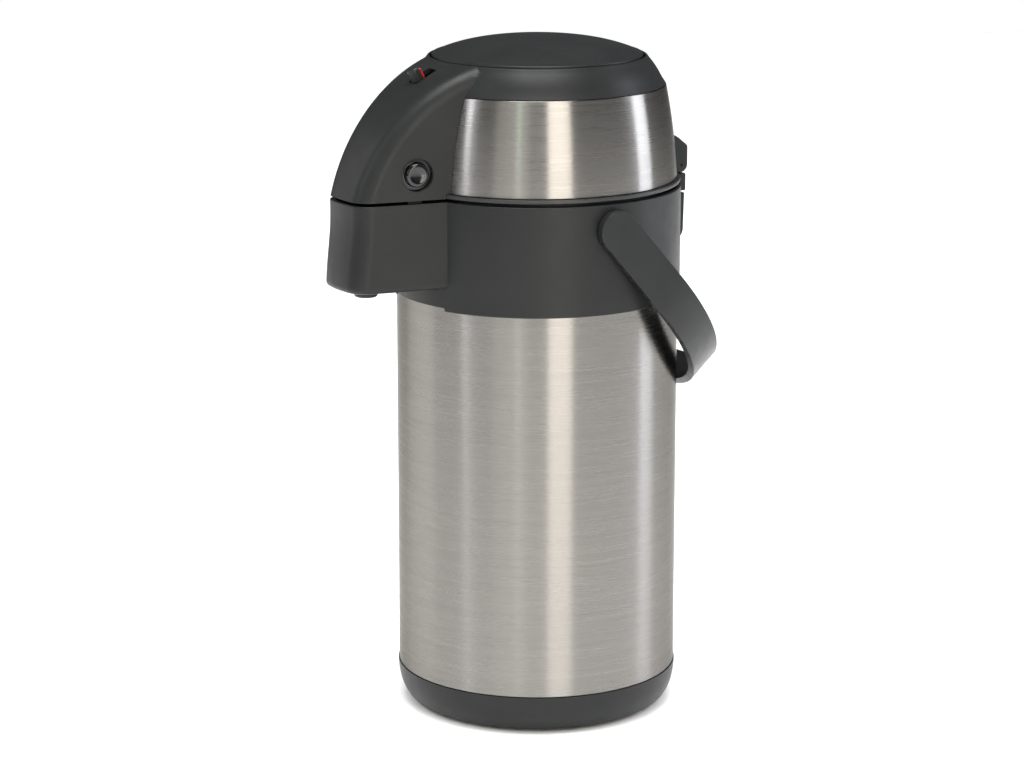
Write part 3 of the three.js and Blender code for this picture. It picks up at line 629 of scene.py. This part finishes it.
def build_base():
    groove = 0.5
    pad_rings = [
        (0, pad.z0), (pad.x1, pad.z0, 0.4), (pad.x1, pad.z1, 0.3), (0, pad.z1),
    ]
    sole = turned(pad_rings)
    grooves = [ring(r, r + 2, pad.z0 - 1, pad.z0 + groove, 0) for r in (20, 32, 44, 53)]
    make("anti_slip_pad", cut(sole, *grooves), SILICONE)

    hub = 7.5
    bore = 2.3
    table = turned([
        (0, plate.z0), (plate.x1, plate.z0, 0.6), (plate.x1, 4.5, 0.6), (hub, 4.5),
        (hub, plate.z1, 0.5), (bore, plate.z1), (bore, 3), (0, 3),
    ])
    make("turntable", table, INNER)
    washer = span("swivel_washer")
    make("swivel_washer", ring(bore, washer.x1, washer.z0, washer.z1, 0.2, FINE), FASTENER)
    make("swivel_screw", screw_shape(span("swivel_screw"), 2.0, 1.5, head_up=True), FASTENER)
    glide = span("glide_ring")
    make("glide_ring", ring(40, glide.x1, glide.z0, glide.z1, 0.3), INNER)

    floor_low = 6.1
    floor_top = 8.5
    foot = 69.0
    curve_top = shell.z0 - GAP
    steps = 16
    rounded = []
    for i in range(steps + 1):
        turn = pi / 2 * i / steps
        across = foot + (cap.x1 - foot) * sin(turn)
        rounded.append((across, curve_top - (curve_top - cap.z0) * cos(turn)))
    lip = shell.x1 - SHEET - GAP
    body = turned([
        *rounded, (lip, curve_top), (lip, cap.z1, 0.4), (75, cap.z1, 0.4), (75, 16.5, 2),
        (67, floor_top, 2), (8, floor_top), (8, floor_low), (66, floor_low, 1), (66, cap.z0, 0.4),
    ])
    ribs = []
    for i in range(12):
        rib = brick((10, 64), (-0.8, 0.8), (floor_low - 1.0, floor_low + 0.2), 0)
        ribs.append(moved(rib, Matrix.Rotation(2 * pi * i / 12, 4, "Z")))
    make("base_cap", joined(body, *[cut(rib, drum(51, 4, 7)) for rib in ribs]), CHARCOAL)

    sheet = turned([
        (shell.x1 - SHEET, shell.z0, 0.2), (shell.x1, shell.z0, 0.3),
        *[(shell.x1, z) for z in spread(shell.z0 + 2, shell.z1 - 2, 12)],
        (shell.x1, shell.z1, 0.3), (shell.x1 - SHEET, shell.z1, 0.2),
    ], 192)
    make("outer_shell", sheet, BRUSHED)


def screw_shape(box, shank, head, head_up):
    """A pan-head screw with a cross recess and a threaded shank."""
    radius = (box.x1 - box.x0) / 2
    length = box.z1 - box.z0 - head
    thread = []
    pitch = 1.0
    turns = int((length - 1) / pitch)
    for i in range(turns):
        start = -length + 0.6 + i * pitch
        thread += [(shank * 0.85, start), (shank, start + pitch / 2)]
    outline = [(0, -length), (shank * 0.7, -length), *thread, (shank, 0)]
    outline += [(radius, 0, 0.2), (radius, head * 0.6, head * 0.5), (0, head)]
    shape = turned(outline, 32)
    arm = radius * 0.55
    width = radius * 0.16
    for across, deep in ((arm, width), (width, arm)):
        shape = cut(shape, brick((-across, across), (-deep, deep), (head * 0.35, head + 1), 0))
    if not head_up:
        shape = moved(shape, Matrix.Rotation(pi, 4, "X"))
    seat = box.z1 - head if head_up else box.z0 + head
    return shifted(shape, (box.x0 + box.x1) / 2, (box.y0 + box.y1) / 2, seat)


# ---- Vacuum flask and coffee path ----


def flask_wall(radius, bottom, neck, top, inset):
    """Outline of one flask wall from the bottom centre to the top of its neck."""
    shoulder = 222.0
    bend = 15.0 - inset
    side = radius - inset
    throat = neck - inset
    dish = [(0, bottom + inset), (side - bend - 8, bottom + inset, 6)]
    slope = [(side, shoulder, 8), (throat + 4, shoulder + 24 - inset, 6)]
    neck_points = [(throat, shoulder + 28 - inset, 1.5), (throat, top)]
    return [*dish, (side, bottom + inset, bend), *slope, *neck_points]


def build_flask():
    support = span("flask_support")
    make("flask_support", ring(30, support.x1, support.z0, support.z1, 1.2), SILICONE)
    jacket = span("flask_jacket")
    throat = 31.8
    outer = flask_wall(jacket.x1, jacket.z0, throat, jacket.z1, 0)
    inner = flask_wall(jacket.x1, jacket.z0, throat, jacket.z1, SHEET)
    make("flask_jacket", turned([*outer, *inner[::-1]], 96), FLASK)
    # The liner is a drawn cup and a necked top, which are welded together where they meet.
    cup = span("flask_liner")
    neck = span("flask_neck")
    bore = 27 + SHEET
    outer = flask_wall(cup.x1, cup.z0, bore, neck.z1 - SHEET, 0)
    inner = flask_wall(cup.x1, cup.z0, bore, neck.z1, SHEET)
    rim = [(throat, neck.z1 - SHEET, 0.2), (throat, neck.z1, 0.3)]
    whole = [*outer, *rim, *inner[::-1]]
    make("flask_liner", cut(turned(whole, 96), drum(cup.x1 + 1, cup.z1, neck.z1 + 1)), FLASK)
    make("flask_neck", cut(turned(whole, 96), drum(cup.x1 + 1, cup.z0 - 1, neck.z0)), FLASK)
    gasket = span("mouth_gasket")
    make("mouth_gasket", ring(27, gasket.x1, gasket.z0, gasket.z1, 0.6), SILICONE)


def build_coffee_path():
    mouth = span("mouth_ring")
    level = 266.0
    outline = [
        (27, mouth.z0, 0.5), (mouth.x1, mouth.z0, 0.5), (mouth.x1, mouth.z1, 0.8),
        (33.5, mouth.z1, 0.4),
        (33.5, mouth.z1 - 0.8), (29.5, mouth.z1 - 0.8), (29.5, mouth.z1, 0.4), (27, mouth.z1, 0.8),
    ]
    opening = shifted(along_y(drum(4.8, -40, -20, FINE)), z=level)
    make("mouth_ring", cut(turned(outline), opening), INNER)

    dip = span("dip_tube")
    dip_y = (dip.y0 + dip.y1) / 2
    tube = ring(3.8, dip.x1, dip.z0, dip.z1, 0.3, FINE)
    foot_slot = brick((-8, 8), (-1.2, 1.2), (dip.z0 - 3, dip.z0 + 4), 0)
    make("dip_tube", shifted(cut(tube, foot_slot), y=dip_y), FLASK)

    elbow = span("outlet_elbow")
    stub = shifted(ring(0, elbow.x1, elbow.z0, elbow.z1, 0.8, FINE), y=dip_y)
    branch = shifted(along_y(ring(0, 4.5, elbow.y0, dip_y, 0.4, FINE)), z=level)
    bore = shifted(drum(3.8, elbow.z0 - 1, level + 1, FINE), y=dip_y)
    way_out = shifted(along_y(drum(3.2, elbow.y0 - 1, dip_y, FINE)), z=level)
    make("outlet_elbow", cut(joined(stub, branch), bore, way_out), INNER)

    build_spout_pipe(level)
    tip = turned([
        (4, nozzle.z0, 0.4), (6.15, nozzle.z0, 0.9), (6.75, nozzle.z0 + 1.6, 0.5),
        (6.75, nozzle.z1, 0.4),
        (4, nozzle.z1, 0.4),
    ], FINE)
    make("spout_nozzle", shifted(tip, y=NOZZLE_Y), CHARCOAL)


def build_spout_pipe(level):
    """A hose from the elbow over the nozzle: straight, then a quarter bend down."""
    pipe = span("spout_pipe")
    bend = 8.0
    shape = bmesh.new()
    for radius in (4.5, 3.2):
        bmesh.ops.create_circle(shape, cap_ends=False, radius=radius, segments=32)
    moved(shape, Matrix.Translation((0, pipe.y1, level)) @ Matrix.Rotation(pi / 2, 4, "X"))
    ends = shape.edges[:]
    made = bmesh.ops.extrude_edge_only(shape, edges=ends)["geom"]
    front = [part for part in made if isinstance(part, bmesh.types.BMVert)]
    bmesh.ops.translate(shape, vec=(0, NOZZLE_Y + bend - pipe.y1, 0), verts=front)
    lines = [part for part in made if isinstance(part, bmesh.types.BMEdge)]
    bmesh.ops.spin(
        shape, geom=front + lines, cent=(0, NOZZLE_Y + bend, level - bend), axis=(1, 0, 0),
        angle=pi / 2, steps=12,
    )
    close(shape)
    open_rims = [line for line in shape.edges if line.is_boundary]
    inlet = [line for line in open_rims if all(abs(tip.co.y - pipe.y1) < WELD for tip in line.verts)]
    bmesh.ops.bridge_loops(shape, edges=inlet)
    bmesh.ops.bridge_loops(shape, edges=[line for line in open_rims if line not in inlet])
    make("spout_pipe", close(shape), INNER)


# ---- Collar, hinge and latch strikes ----


def bracket_holes(end):
    """The two holes for the screws that hold the hinge bracket, along Y up to the given end."""
    hole = BRACKET_SCREW
    return [
        shifted(along_y(drum(hole.hole, 70, end, 24)), x=x, z=hole.z) for x in (-hole.x, hole.x)
    ]


def build_collar():
    skirt = 79.0
    inner = 77.5
    deck_low = 272.2
    deck_top = 274.7
    mouth = 36.3
    radius = collar.y1
    seat = shell.z1 + GAP
    body = turned([
        (skirt, collar.z0, 0.3), (radius, collar.z0, 0.6), (radius, collar.z1, 0.7),
        (inner, collar.z1, 0.5), (inner, deck_top, 1.2), (mouth, deck_top, 0.6),
        (mouth, deck_low, 0.4), (inner, deck_low, 1.0),
        (inner, seat), (skirt, seat),
    ])
    outer_block = beak_solid(0, edges=(3.0, 0.7))
    hollow = beak_solid(WALL, BEAK.low + WALL, collar.z1 + 3)
    block = cut(outer_block, cut(hollow, drum(radius - 0.4, 200, 320)), drum(skirt, 200, 320))
    shape = joined(body, block)
    recess_half = wall_half(-radius) + BEAK.proud - 1
    recess = brick((-recess_half, recess_half), (-90, -60), (collar.z0 - 3, collar.z0 + 2), 0.8)
    nozzle_hole = shifted(drum(6.75 + GAP, BEAK.low - 2, BEAK.low + 6, FINE), y=NOZZLE_Y)
    pipe_hole = shifted(along_y(drum(5.0, -90, -70, FINE)), z=266)
    pivots = shifted(along_x(drum(PIVOT.hole, -90, 90, FINE)), y=PIVOT.y, z=PIVOT.z)
    holes = bracket_holes(90)
    make("collar", cut(shape, recess, nozzle_hole, pipe_hole, pivots, *holes), CHARCOAL)

    for side in ("left", "right"):
        node = "bracket_screw_" + side
        box = span(node)
        turn = Matrix.Rotation(-pi / 2, 4, "X")
        length = box.y1 - box.y0
        standing = SimpleNamespace(x0=-3, x1=3, y0=-3, y1=3, z0=0, z1=length)
        shape = moved(screw_shape(standing, 1.5, 1.5, head_up=False), turn)
        make(node, shifted(shape, (box.x0 + box.x1) / 2, box.y0, (box.z0 + box.z1) / 2), FASTENER)

    for name, side in (("left", -1), ("right", 1)):
        strike = brick((-4, -2.1), (-6, 6), (-22, -19.5), 0.4)
        make("latch_strike_" + name, strike, FASTENER, button_frame(side))


def build_hinge():
    knuckle = HINGE.knuckle
    clear = drum(collar.y1 + GAP, 200, 320)
    foot = brick((-15, 15), (70, bracket.y1 - 0.5), (bracket.z0, 297.7), 0.7)
    upper = [(81.4, 290), (bracket.y1, 290, 0.8)]
    upper += [
        (HINGE.y + knuckle * cos(turn), HINGE.z + knuckle * sin(turn)) for turn in spread(0, pi, 17)
    ]
    tongue = slab(upper, HINGE.tongue, 0.5)
    pin_hole = shifted(along_x(drum(2 + GAP, -20, 20, 32)), y=HINGE.y, z=HINGE.z)
    holes = bracket_holes(87)
    make("hinge_bracket", cut(joined(foot, tongue), clear, pin_hole, *holes), CHARCOAL)

    outline = [
        (70, cover.z0), (80.8, cover.z0, 0.6), (88.3, 263, 2.5), (cover.y1, cover.z1, 0.7),
        (70, cover.z1),
    ]
    shape = cut(slab(outline, 15, 0.8), drum(collar.y1 + GAP, 200, 320))
    make("hinge_cover", shape, CHARCOAL)

    lower = [
        (HINGE.y + knuckle * cos(turn), HINGE.z - knuckle * sin(turn)) for turn in spread(pi, 0, 17)
    ]
    outline = [
        (70, lug.z1), (70, 303), *lower, (lug.y1, 313.6, 1.0), (84, 318.6, 1.5), (79, lug.z1, 0.8),
    ]
    seat = flange.z1 + GAP
    inside = turned([
        (0, 280), (flange.x1 + GAP, 280), (flange.x1 + GAP, seat),
        *band_curve(-GAP, seat, band.z1), (0, band.z1),
    ])
    fork_half = HINGE.tongue + GAP
    fork = brick((-fork_half, fork_half), (60, 100), (290, HINGE.z + knuckle + 0.7), 0)
    bore = along_x(drum(2 + GAP, pin.x0 - GAP, pin.x1 + GAP, 32))
    dimples = [along_x(drum(0.9, end - 0.6, end + 0.6, 24)) for end in (lug.x0, lug.x1)]
    holes = [shifted(hole, y=HINGE.y, z=HINGE.z) for hole in (bore, *dimples)]
    make("lid_hinge_lug", cut(slab(outline, lug.x1, 0.8), inside, fork, *holes), CHARCOAL)
    bar = along_x(ring(0, 2, pin.x0, pin.x1, 0.4, 32))
    make("hinge_pin", shifted(bar, y=HINGE.y, z=HINGE.z), FASTENER)


# ---- Lid ----


def screw_places():
    for i in range(4):
        turn = radians(45 + 90 * i)
        yield i + 1, SCREW_CIRCLE * cos(turn), SCREW_CIRCLE * sin(turn)


def button_opening():
    """The hole that a release button stands in, with a softened rim, along +X out of the wall."""
    rim = 0.4
    return along_x(turned([
        (0, -6), (BUTTON.hole, -6), (BUTTON.hole, -rim), (BUTTON.hole + rim, 0.05),
        (BUTTON.hole + rim, 6), (0, 6),
    ], FINE))


def build_lid():
    under_band = band_curve(SHEET + GAP, band.z0, band.z1)
    shoulder = [
        (band_radius(band.z1) - 0.3, band.z1 + GAP, 0.4), (68.9, 357.3, 3), (65.7, 363.4, 4),
        (61.9, 367.9, 1.5), (60.6, RIM, 0.6), (WELL, RIM, 0.4),
    ]
    inside = [(WELL, WELL_LOW), (WELL + 2, WELL_LOW), (WELL + 2, 365)]
    inner_curve = band_curve(SHEET + GAP + 2, band.z0, band.z1)[::-1]
    body = turned([*under_band, *shoulder, *inside, *inner_curve])
    hood = trimmed(hood_solid(), LID_LOW, 0.6)
    hood = cut(hood, drum(flange.x1 + GAP, 280, flange.z1 + GAP))
    shell_shape = cut(joined(body, hood), hood_solid(WALL, 10))
    tube = ring(WELL, WELL + 2, WELL_LOW, 366, 0)
    bosses = [shifted(drum(3.5, housing.z0, 335, 32), x, y) for _, x, y in screw_places()]
    shell_shape = joined(shell_shape, tube, *bosses)
    well = turned([
        (0, 290), (WELL, 290), (WELL, RIM - 0.6), (WELL + 0.6, RIM + 0.2),
        (WELL + 0.6, 390), (0, 390),
    ])
    slot = extruded([
        (-LOCK.width / 2, -LOCK.length / 2, 1.6), (LOCK.width / 2, -LOCK.length / 2, 1.6),
        (LOCK.width / 2, LOCK.length / 2, 1.6), (-LOCK.width / 2, LOCK.length / 2, 1.6),
    ], -6, 6, 0)
    moved(slot, lock_frame())
    openings = [moved(button_opening(), button_frame(side)) for side in (-1, 1)]
    holes = [shifted(drum(1.7, 280, 301, 24), x, y) for _, x, y in screw_places()]
    make("lid_housing", cut(shell_shape, well, slot, *openings, *holes), CHARCOAL)

    sheet = turned([
        (band_radius(band.z0) - SHEET, band.z0, 0.2), (band_radius(band.z0), band.z0, 0.3),
        *band_curve(0, band.z0 + 2, band.z1 - 1, 22),
        (band_radius(band.z1), band.z1, 0.3), (band_radius(band.z1) - SHEET, band.z1, 0.2),
        *band_curve(SHEET, band.z0 + 2, band.z1 - 1, 22)[::-1],
    ], 192)
    make("lid_band", cut(sheet, hood_solid(-GAP)), BRUSHED)
    build_lid_base()

    gasket = span("lid_gasket")
    lips = [
        (28, gasket.z0 + 0.8, 0.3), (29.5, gasket.z0 + 0.8), (30.5, gasket.z0, 0.3),
        (32.5, gasket.z0, 0.3),
        (33.5, gasket.z0 + 0.8), (gasket.x1, gasket.z0 + 0.8, 0.3), (gasket.x1, gasket.z1, 0.3),
        (28, gasket.z1, 0.3),
    ]
    make("lid_gasket", turned(lips), SILICONE)
    valve = span("air_check_valve")
    flap = turned([
        (0, valve.z0), (9, valve.z0, 0.4), (9, 286, 0.4), (2, 286), (2, valve.z1, 0.6),
        (0, valve.z1),
    ], FINE)
    make("air_check_valve", flap, SILICONE)
    for number, x, y in screw_places():
        node = f"lid_screw_{number}"
        make(node, screw_shape(span(node), 1.4, 1.4, head_up=False), FASTENER)


def build_lid_base():
    """The pan that closes the lid from below, its rim the lip under the steel band."""
    air_hole = 5.0
    plug = 73.0
    pan_floor = flange.z0 + WALL
    pan = turned([
        (air_hole, flange.z0, 0.5), (plug, flange.z0, 1.2), (plug, LID_LOW, 0.8),
        (flange.x1, LID_LOW, 0.7), (flange.x1, flange.z1, 0.5), (plug - WALL, flange.z1),
        (plug - WALL, pan_floor), (air_hole, pan_floor),
    ])
    inside = WALL + GAP
    back = -74.5
    front = -117.8
    outline = [
        (-wall_half(back) + inside, back), (-wall_half(front) + inside, front, 4),
        (wall_half(front) - inside, front, 4), (wall_half(back) - inside, back),
    ]
    shape = joined(pan, extruded(outline, LID_LOW, flange.z1, 0.4))
    slots = [
        moved(brick((-11, -3.6), (-4.6, 4.6), (-20, -8), 0), button_frame(side)) for side in (-1, 1)
    ]
    holes = [shifted(drum(1.7, 280, 301, 24), x, y) for _, x, y in screw_places()]
    step = ring(37.5, 40, flange.z0 - 2, flange.z0 + 0.6, 0)
    make("lid_base", cut(shape, *slots, *holes, step), INNER)


# ---- Pump ----


def build_pump():
    sleeve = span("bellows")
    root = 38.0
    folds = 5
    pitch = (sleeve.z1 - sleeve.z0) / folds
    outer = []
    for i in range(folds + 1):
        valley = (root, sleeve.z0 + pitch * i)
        outer.append((*valley, 0.9) if 0 < i < folds else valley)
        if i < folds:
            outer.append((sleeve.x1, sleeve.z0 + pitch * (i + 0.5), 0.9))
    inner = [(point[0] - 1.2, *point[1:]) for point in outer][::-1]
    folding = make("bellows", turned([*outer, *inner], 96), SILICONE)
    spring = span("bellows_spring")
    wire = 1.2
    coil = coiled(30, wire, spring.z0 + wire, spring.z1 - wire, 5)
    winding = make("bellows_spring", coil, FASTENER)
    # Both sit between the lid base and the descending plate, which squeezes them; here each only gets a
    # mesh of its own.
    for piece, box in ((folding, sleeve), (winding, spring)):
        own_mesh(piece)
    head = span("bellows_plate")
    make("bellows_plate", ring(4, head.x1, head.z0, head.z1, 0.5), INNER)
    seal = span("air_valve_seal")
    make("air_valve_seal", ring(0, seal.x1, seal.z0, seal.z1, 0.5, FINE), SILICONE)

    def crest(r):
        return disc.z1 - 0.00165 * r ** 2 - 3.3e-7 * r ** 4

    dome = [(r, crest(r)) for r in spread(0, 56.6, 20)]
    edge = [(disc.x1, crest(57.6), 1.0), (disc.x1, disc.z0, 0.5), (disc.x1 - 2, disc.z0, 0.5)]
    under = [(disc.x1 - 2, 367.4), (42, 373.0), (24, 375.6), (0, 376.6)]
    press = turned([*dome, *edge, *under])
    rib = ring(40, 42, head.z1 + GAP, 374, 0)
    stem = drum(6, seal.z1 + GAP, 378, FINE)
    make("press_disc", joined(press, rib, stem), CHARCOAL)


# ---- Lock, release buttons and latches ----


def build_lock():
    knob = shifted(turned([
        (0, -4.6), (LOCK.knob, -4.6), (LOCK.knob, LOCK.height, 1.6), (0, LOCK.height),
    ], FINE, 6), y=LOCK.offset)
    flat = brick((-5, 5), (-1.2, 3), (-1, LOCK.height + 1), 0)
    slide = brick((-6, 6), (-11, 2.5), (-5.5, -4), 0.3)
    make("lock_slider", joined(cut(knob, flat), slide), HANDLED, lock_frame())
    block = brick((-2.3, 2.3), (-0.9, 0.05), (-0.7, 5.0), 0.25)
    make("lock_indicator", block, RED, lock_frame())


def build_latches():
    for name, side in (("left", -1), ("right", 1)):
        frame_here = button_frame(side)
        dome = along_x(turned([
            (0, -4.4), (BUTTON.flange, -4.4, 0.3), (BUTTON.flange, -3, 0.3),
            (BUTTON.radius, -3, 0.5),
            (BUTTON.radius, 0, 0.5), (BUTTON.radius * 0.82, BUTTON.proud, 1.2),
            (BUTTON.radius * 0.55, BUTTON.proud * 0.55, 1.0), (0, BUTTON.proud * 0.35),
        ], FINE))
        make("release_button_" + name, dome, GLOSS, frame_here)
        arm = brick((-7, -4.8), (-4, 4), (-26, 4), 0.4)
        hook = brick((-6, -4.3), (-4, 4), (-26, -23.5), 0.4)
        make("latch_pawl_" + name, joined(arm, hook), INNER, frame_here)
    # One spring pushes both pawls outwards, and each button presses its own half; it is drawn as two
    # halves, each with a mesh of its own.
    reach = wall_half(BUTTON.y) - 8.6
    for name, near, far in (("left", -reach, -0.1), ("right", 0.1, reach)):
        coil = along_x(coiled(3, 0.5, near, far, 3))
        half = make(
            "latch_spring", coil, FASTENER, Matrix.Translation((0, BUTTON.y, BUTTON.z)),
            name="latch_spring_" + name, stands_for=name == "left",
        )
        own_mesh(half)


# ---- Carrying handle ----


def build_handle():
    """A flat strap with half-round ends, bent round the back of the pot."""
    outer = strap.x1
    inner = 81.0
    middle = (inner + outer) / 2
    thick = outer - inner
    width = 22.5
    bow = pi * middle / 2
    reach = bow + PIVOT.arm
    end = width / 2
    outline = [
        (-reach - end, -end, end - 0.01), (reach + end, -end, end - 0.01),
        (reach + end, end, end - 0.01), (-reach - end, end, end - 0.01),
    ]
    shape = extruded(outline, -thick / 2, thick / 2, 1.3, corner_steps=14)
    sliced(shape, 0, spread(-bow, bow, 73))
    for point in shape.verts:
        along, wide, proud = point.co
        turn = max(-pi / 2, min(pi / 2, along / middle))
        past = abs(along) - bow if abs(along) > bow else 0.0
        narrow = 1 + (PIVOT.grip / width - 1) * cos(turn)
        radius = middle + proud
        point.co = (radius * sin(turn), PIVOT.arm + radius * cos(turn) - past, wide * narrow)
    close(shape)
    hanging = Matrix.Translation((0, PIVOT.y, PIVOT.z)) @ Matrix.Rotation(-PIVOT.hang, 4, "X")
    skin = 1.2
    holes = [
        along_x(drum(PIVOT.hole, *sorted((side * (inner - 1), side * (outer - skin))), FINE))
        for side in (-1, 1)
    ]
    make("handle", cut(shape, *holes), HANDLED, hanging)
    for name, side in (("left", -1), ("right", 1)):
        stud = along_x(ring(0, PIVOT.stud, *sorted((side * 73.7, side * 84)), 0.4, FINE))
        make("handle_stud_" + name, stud, FASTENER, hanging)
        clip = along_x(ring(PIVOT.hole, 6.5, *sorted((side * 74.6, side * 76.6)), 0.3, FINE))
        make("handle_retainer_" + name, clip, FASTENER, hanging)


# ---- Studio ----


def build_floor():
    shape = bmesh.new()
    bmesh.ops.create_grid(shape, x_segments=8, y_segments=8, size=2.2)
    mesh = bpy.data.meshes.new("floor")
    shape.to_mesh(mesh)
    shape.free()
    mesh.materials.append(studio_floor())
    floor = bpy.data.objects.new("floor", mesh)
    bpy.context.scene.collection.objects.link(floor)


def build_camera():
    azimuth = radians(58.6)
    distance = 1.8
    data = bpy.data.cameras.new("camera")
    data.lens = 115.1
    data.sensor_width = 36
    camera = bpy.data.objects.new("camera", data)
    bpy.context.scene.collection.objects.link(camera)
    right = Vector((cos(azimuth), sin(azimuth), 0))
    back = Vector((sin(azimuth), -cos(azimuth), 0))
    camera.location = back * distance + Vector((0, 0, 0.613))
    aim = right * -0.014 + Vector((0, 0, 0.1825))
    camera.rotation_euler = (aim - camera.location).to_track_quat("-Z", "Y").to_euler()
    bpy.context.scene.camera = camera
    return right, back


def softbox(name, size, power, colour, place, aim):
    """A soft rectangular light that the camera itself doesn't see."""
    data = bpy.data.lights.new(name, "AREA")
    data.shape = "RECTANGLE"
    data.size, data.size_y = size
    data.energy = power
    data.color = linear(colour)[:3]
    light = bpy.data.objects.new(name, data)
    bpy.context.scene.collection.objects.link(light)
    light.location = place
    light.rotation_euler = (aim - place).to_track_quat("-Z", "Y").to_euler()
    light.visible_camera = False
    return light


def build_lights(right, back):
    """A dim room under a ceiling softbox, with upright strips that draw the steel's streaks."""
    world = bpy.data.worlds.new("studio")
    world.use_nodes = True
    tree = world.node_tree
    tree.nodes.clear()
    seen = add(tree, "Background", {"Color": linear("#ffffff"), "Strength": 1.0})
    dim = add(tree, "Background", {"Color": linear("#e9ecf0"), "Strength": 0.1})
    ray = add(tree, "LightPath").outputs["Is Camera Ray"]
    both = add(tree, "MixShader", links={0: ray, 1: dim.outputs[0], 2: seen.outputs[0]})
    add(tree, "OutputWorld", links={"Surface": both.outputs[0]})
    bpy.context.scene.world = world

    # Name, angle to the right of the camera's side, distance, width, lower end, upper end,
    # power and colour.
    strips = (
        ("warm_key", 18.5, 1.5, 0.5, 0.02, 1.5, 11.5, "#fff8ee"),
        ("edge_strip", -60, 1.5, 0.12, 0.5, 1.7, 5, "#f4f6ff"),
        ("front_fill", -21, 1.6, 0.8, 0.1, 1.4, 2.2, "#fffaf4"),
        ("green_strip", -15, 1.5, 0.08, 0.2, 1.5, 0.7, "#e2ffe4"),
        ("blue_strip", 98, 1.5, 0.4, 0.1, 1.5, 11, "#eef3ff"),
        ("back_fill", -108, 1.6, 1.0, 0.1, 1.3, 4.6, "#fbf9f6"),
    )
    for name, turn, distance, width, low, high, power, colour in strips:
        angle = radians(turn)
        middle = Vector((0, 0, (low + high) / 2))
        place = (back * cos(angle) + right * sin(angle)) * distance + middle
        softbox(name, (width, high - low), power, colour, place, middle)
    floor_middle = Vector((0, 0, 0))
    above = back * 0.35 + Vector((0, 0, 2.0))
    softbox("top_softbox", (1.0, 1.0), 34, "#ffffff", above, floor_middle)
    # The ceiling only washes the floor white: it doesn't show as a reflection.
    ceiling = Vector((0, -0.01, 2.6))
    wash = softbox("ceiling_wash", (8.0, 8.0), 320, "#ffffff", ceiling, floor_middle)
    wash.visible_glossy = False
    bpy.context.scene.view_settings.view_transform = "Standard"


build_base()
build_flask()
build_coffee_path()
build_collar()
build_hinge()
build_lid()
build_pump()
build_lock()
build_latches()
build_handle()
build_floor()
build_lights(*build_camera())
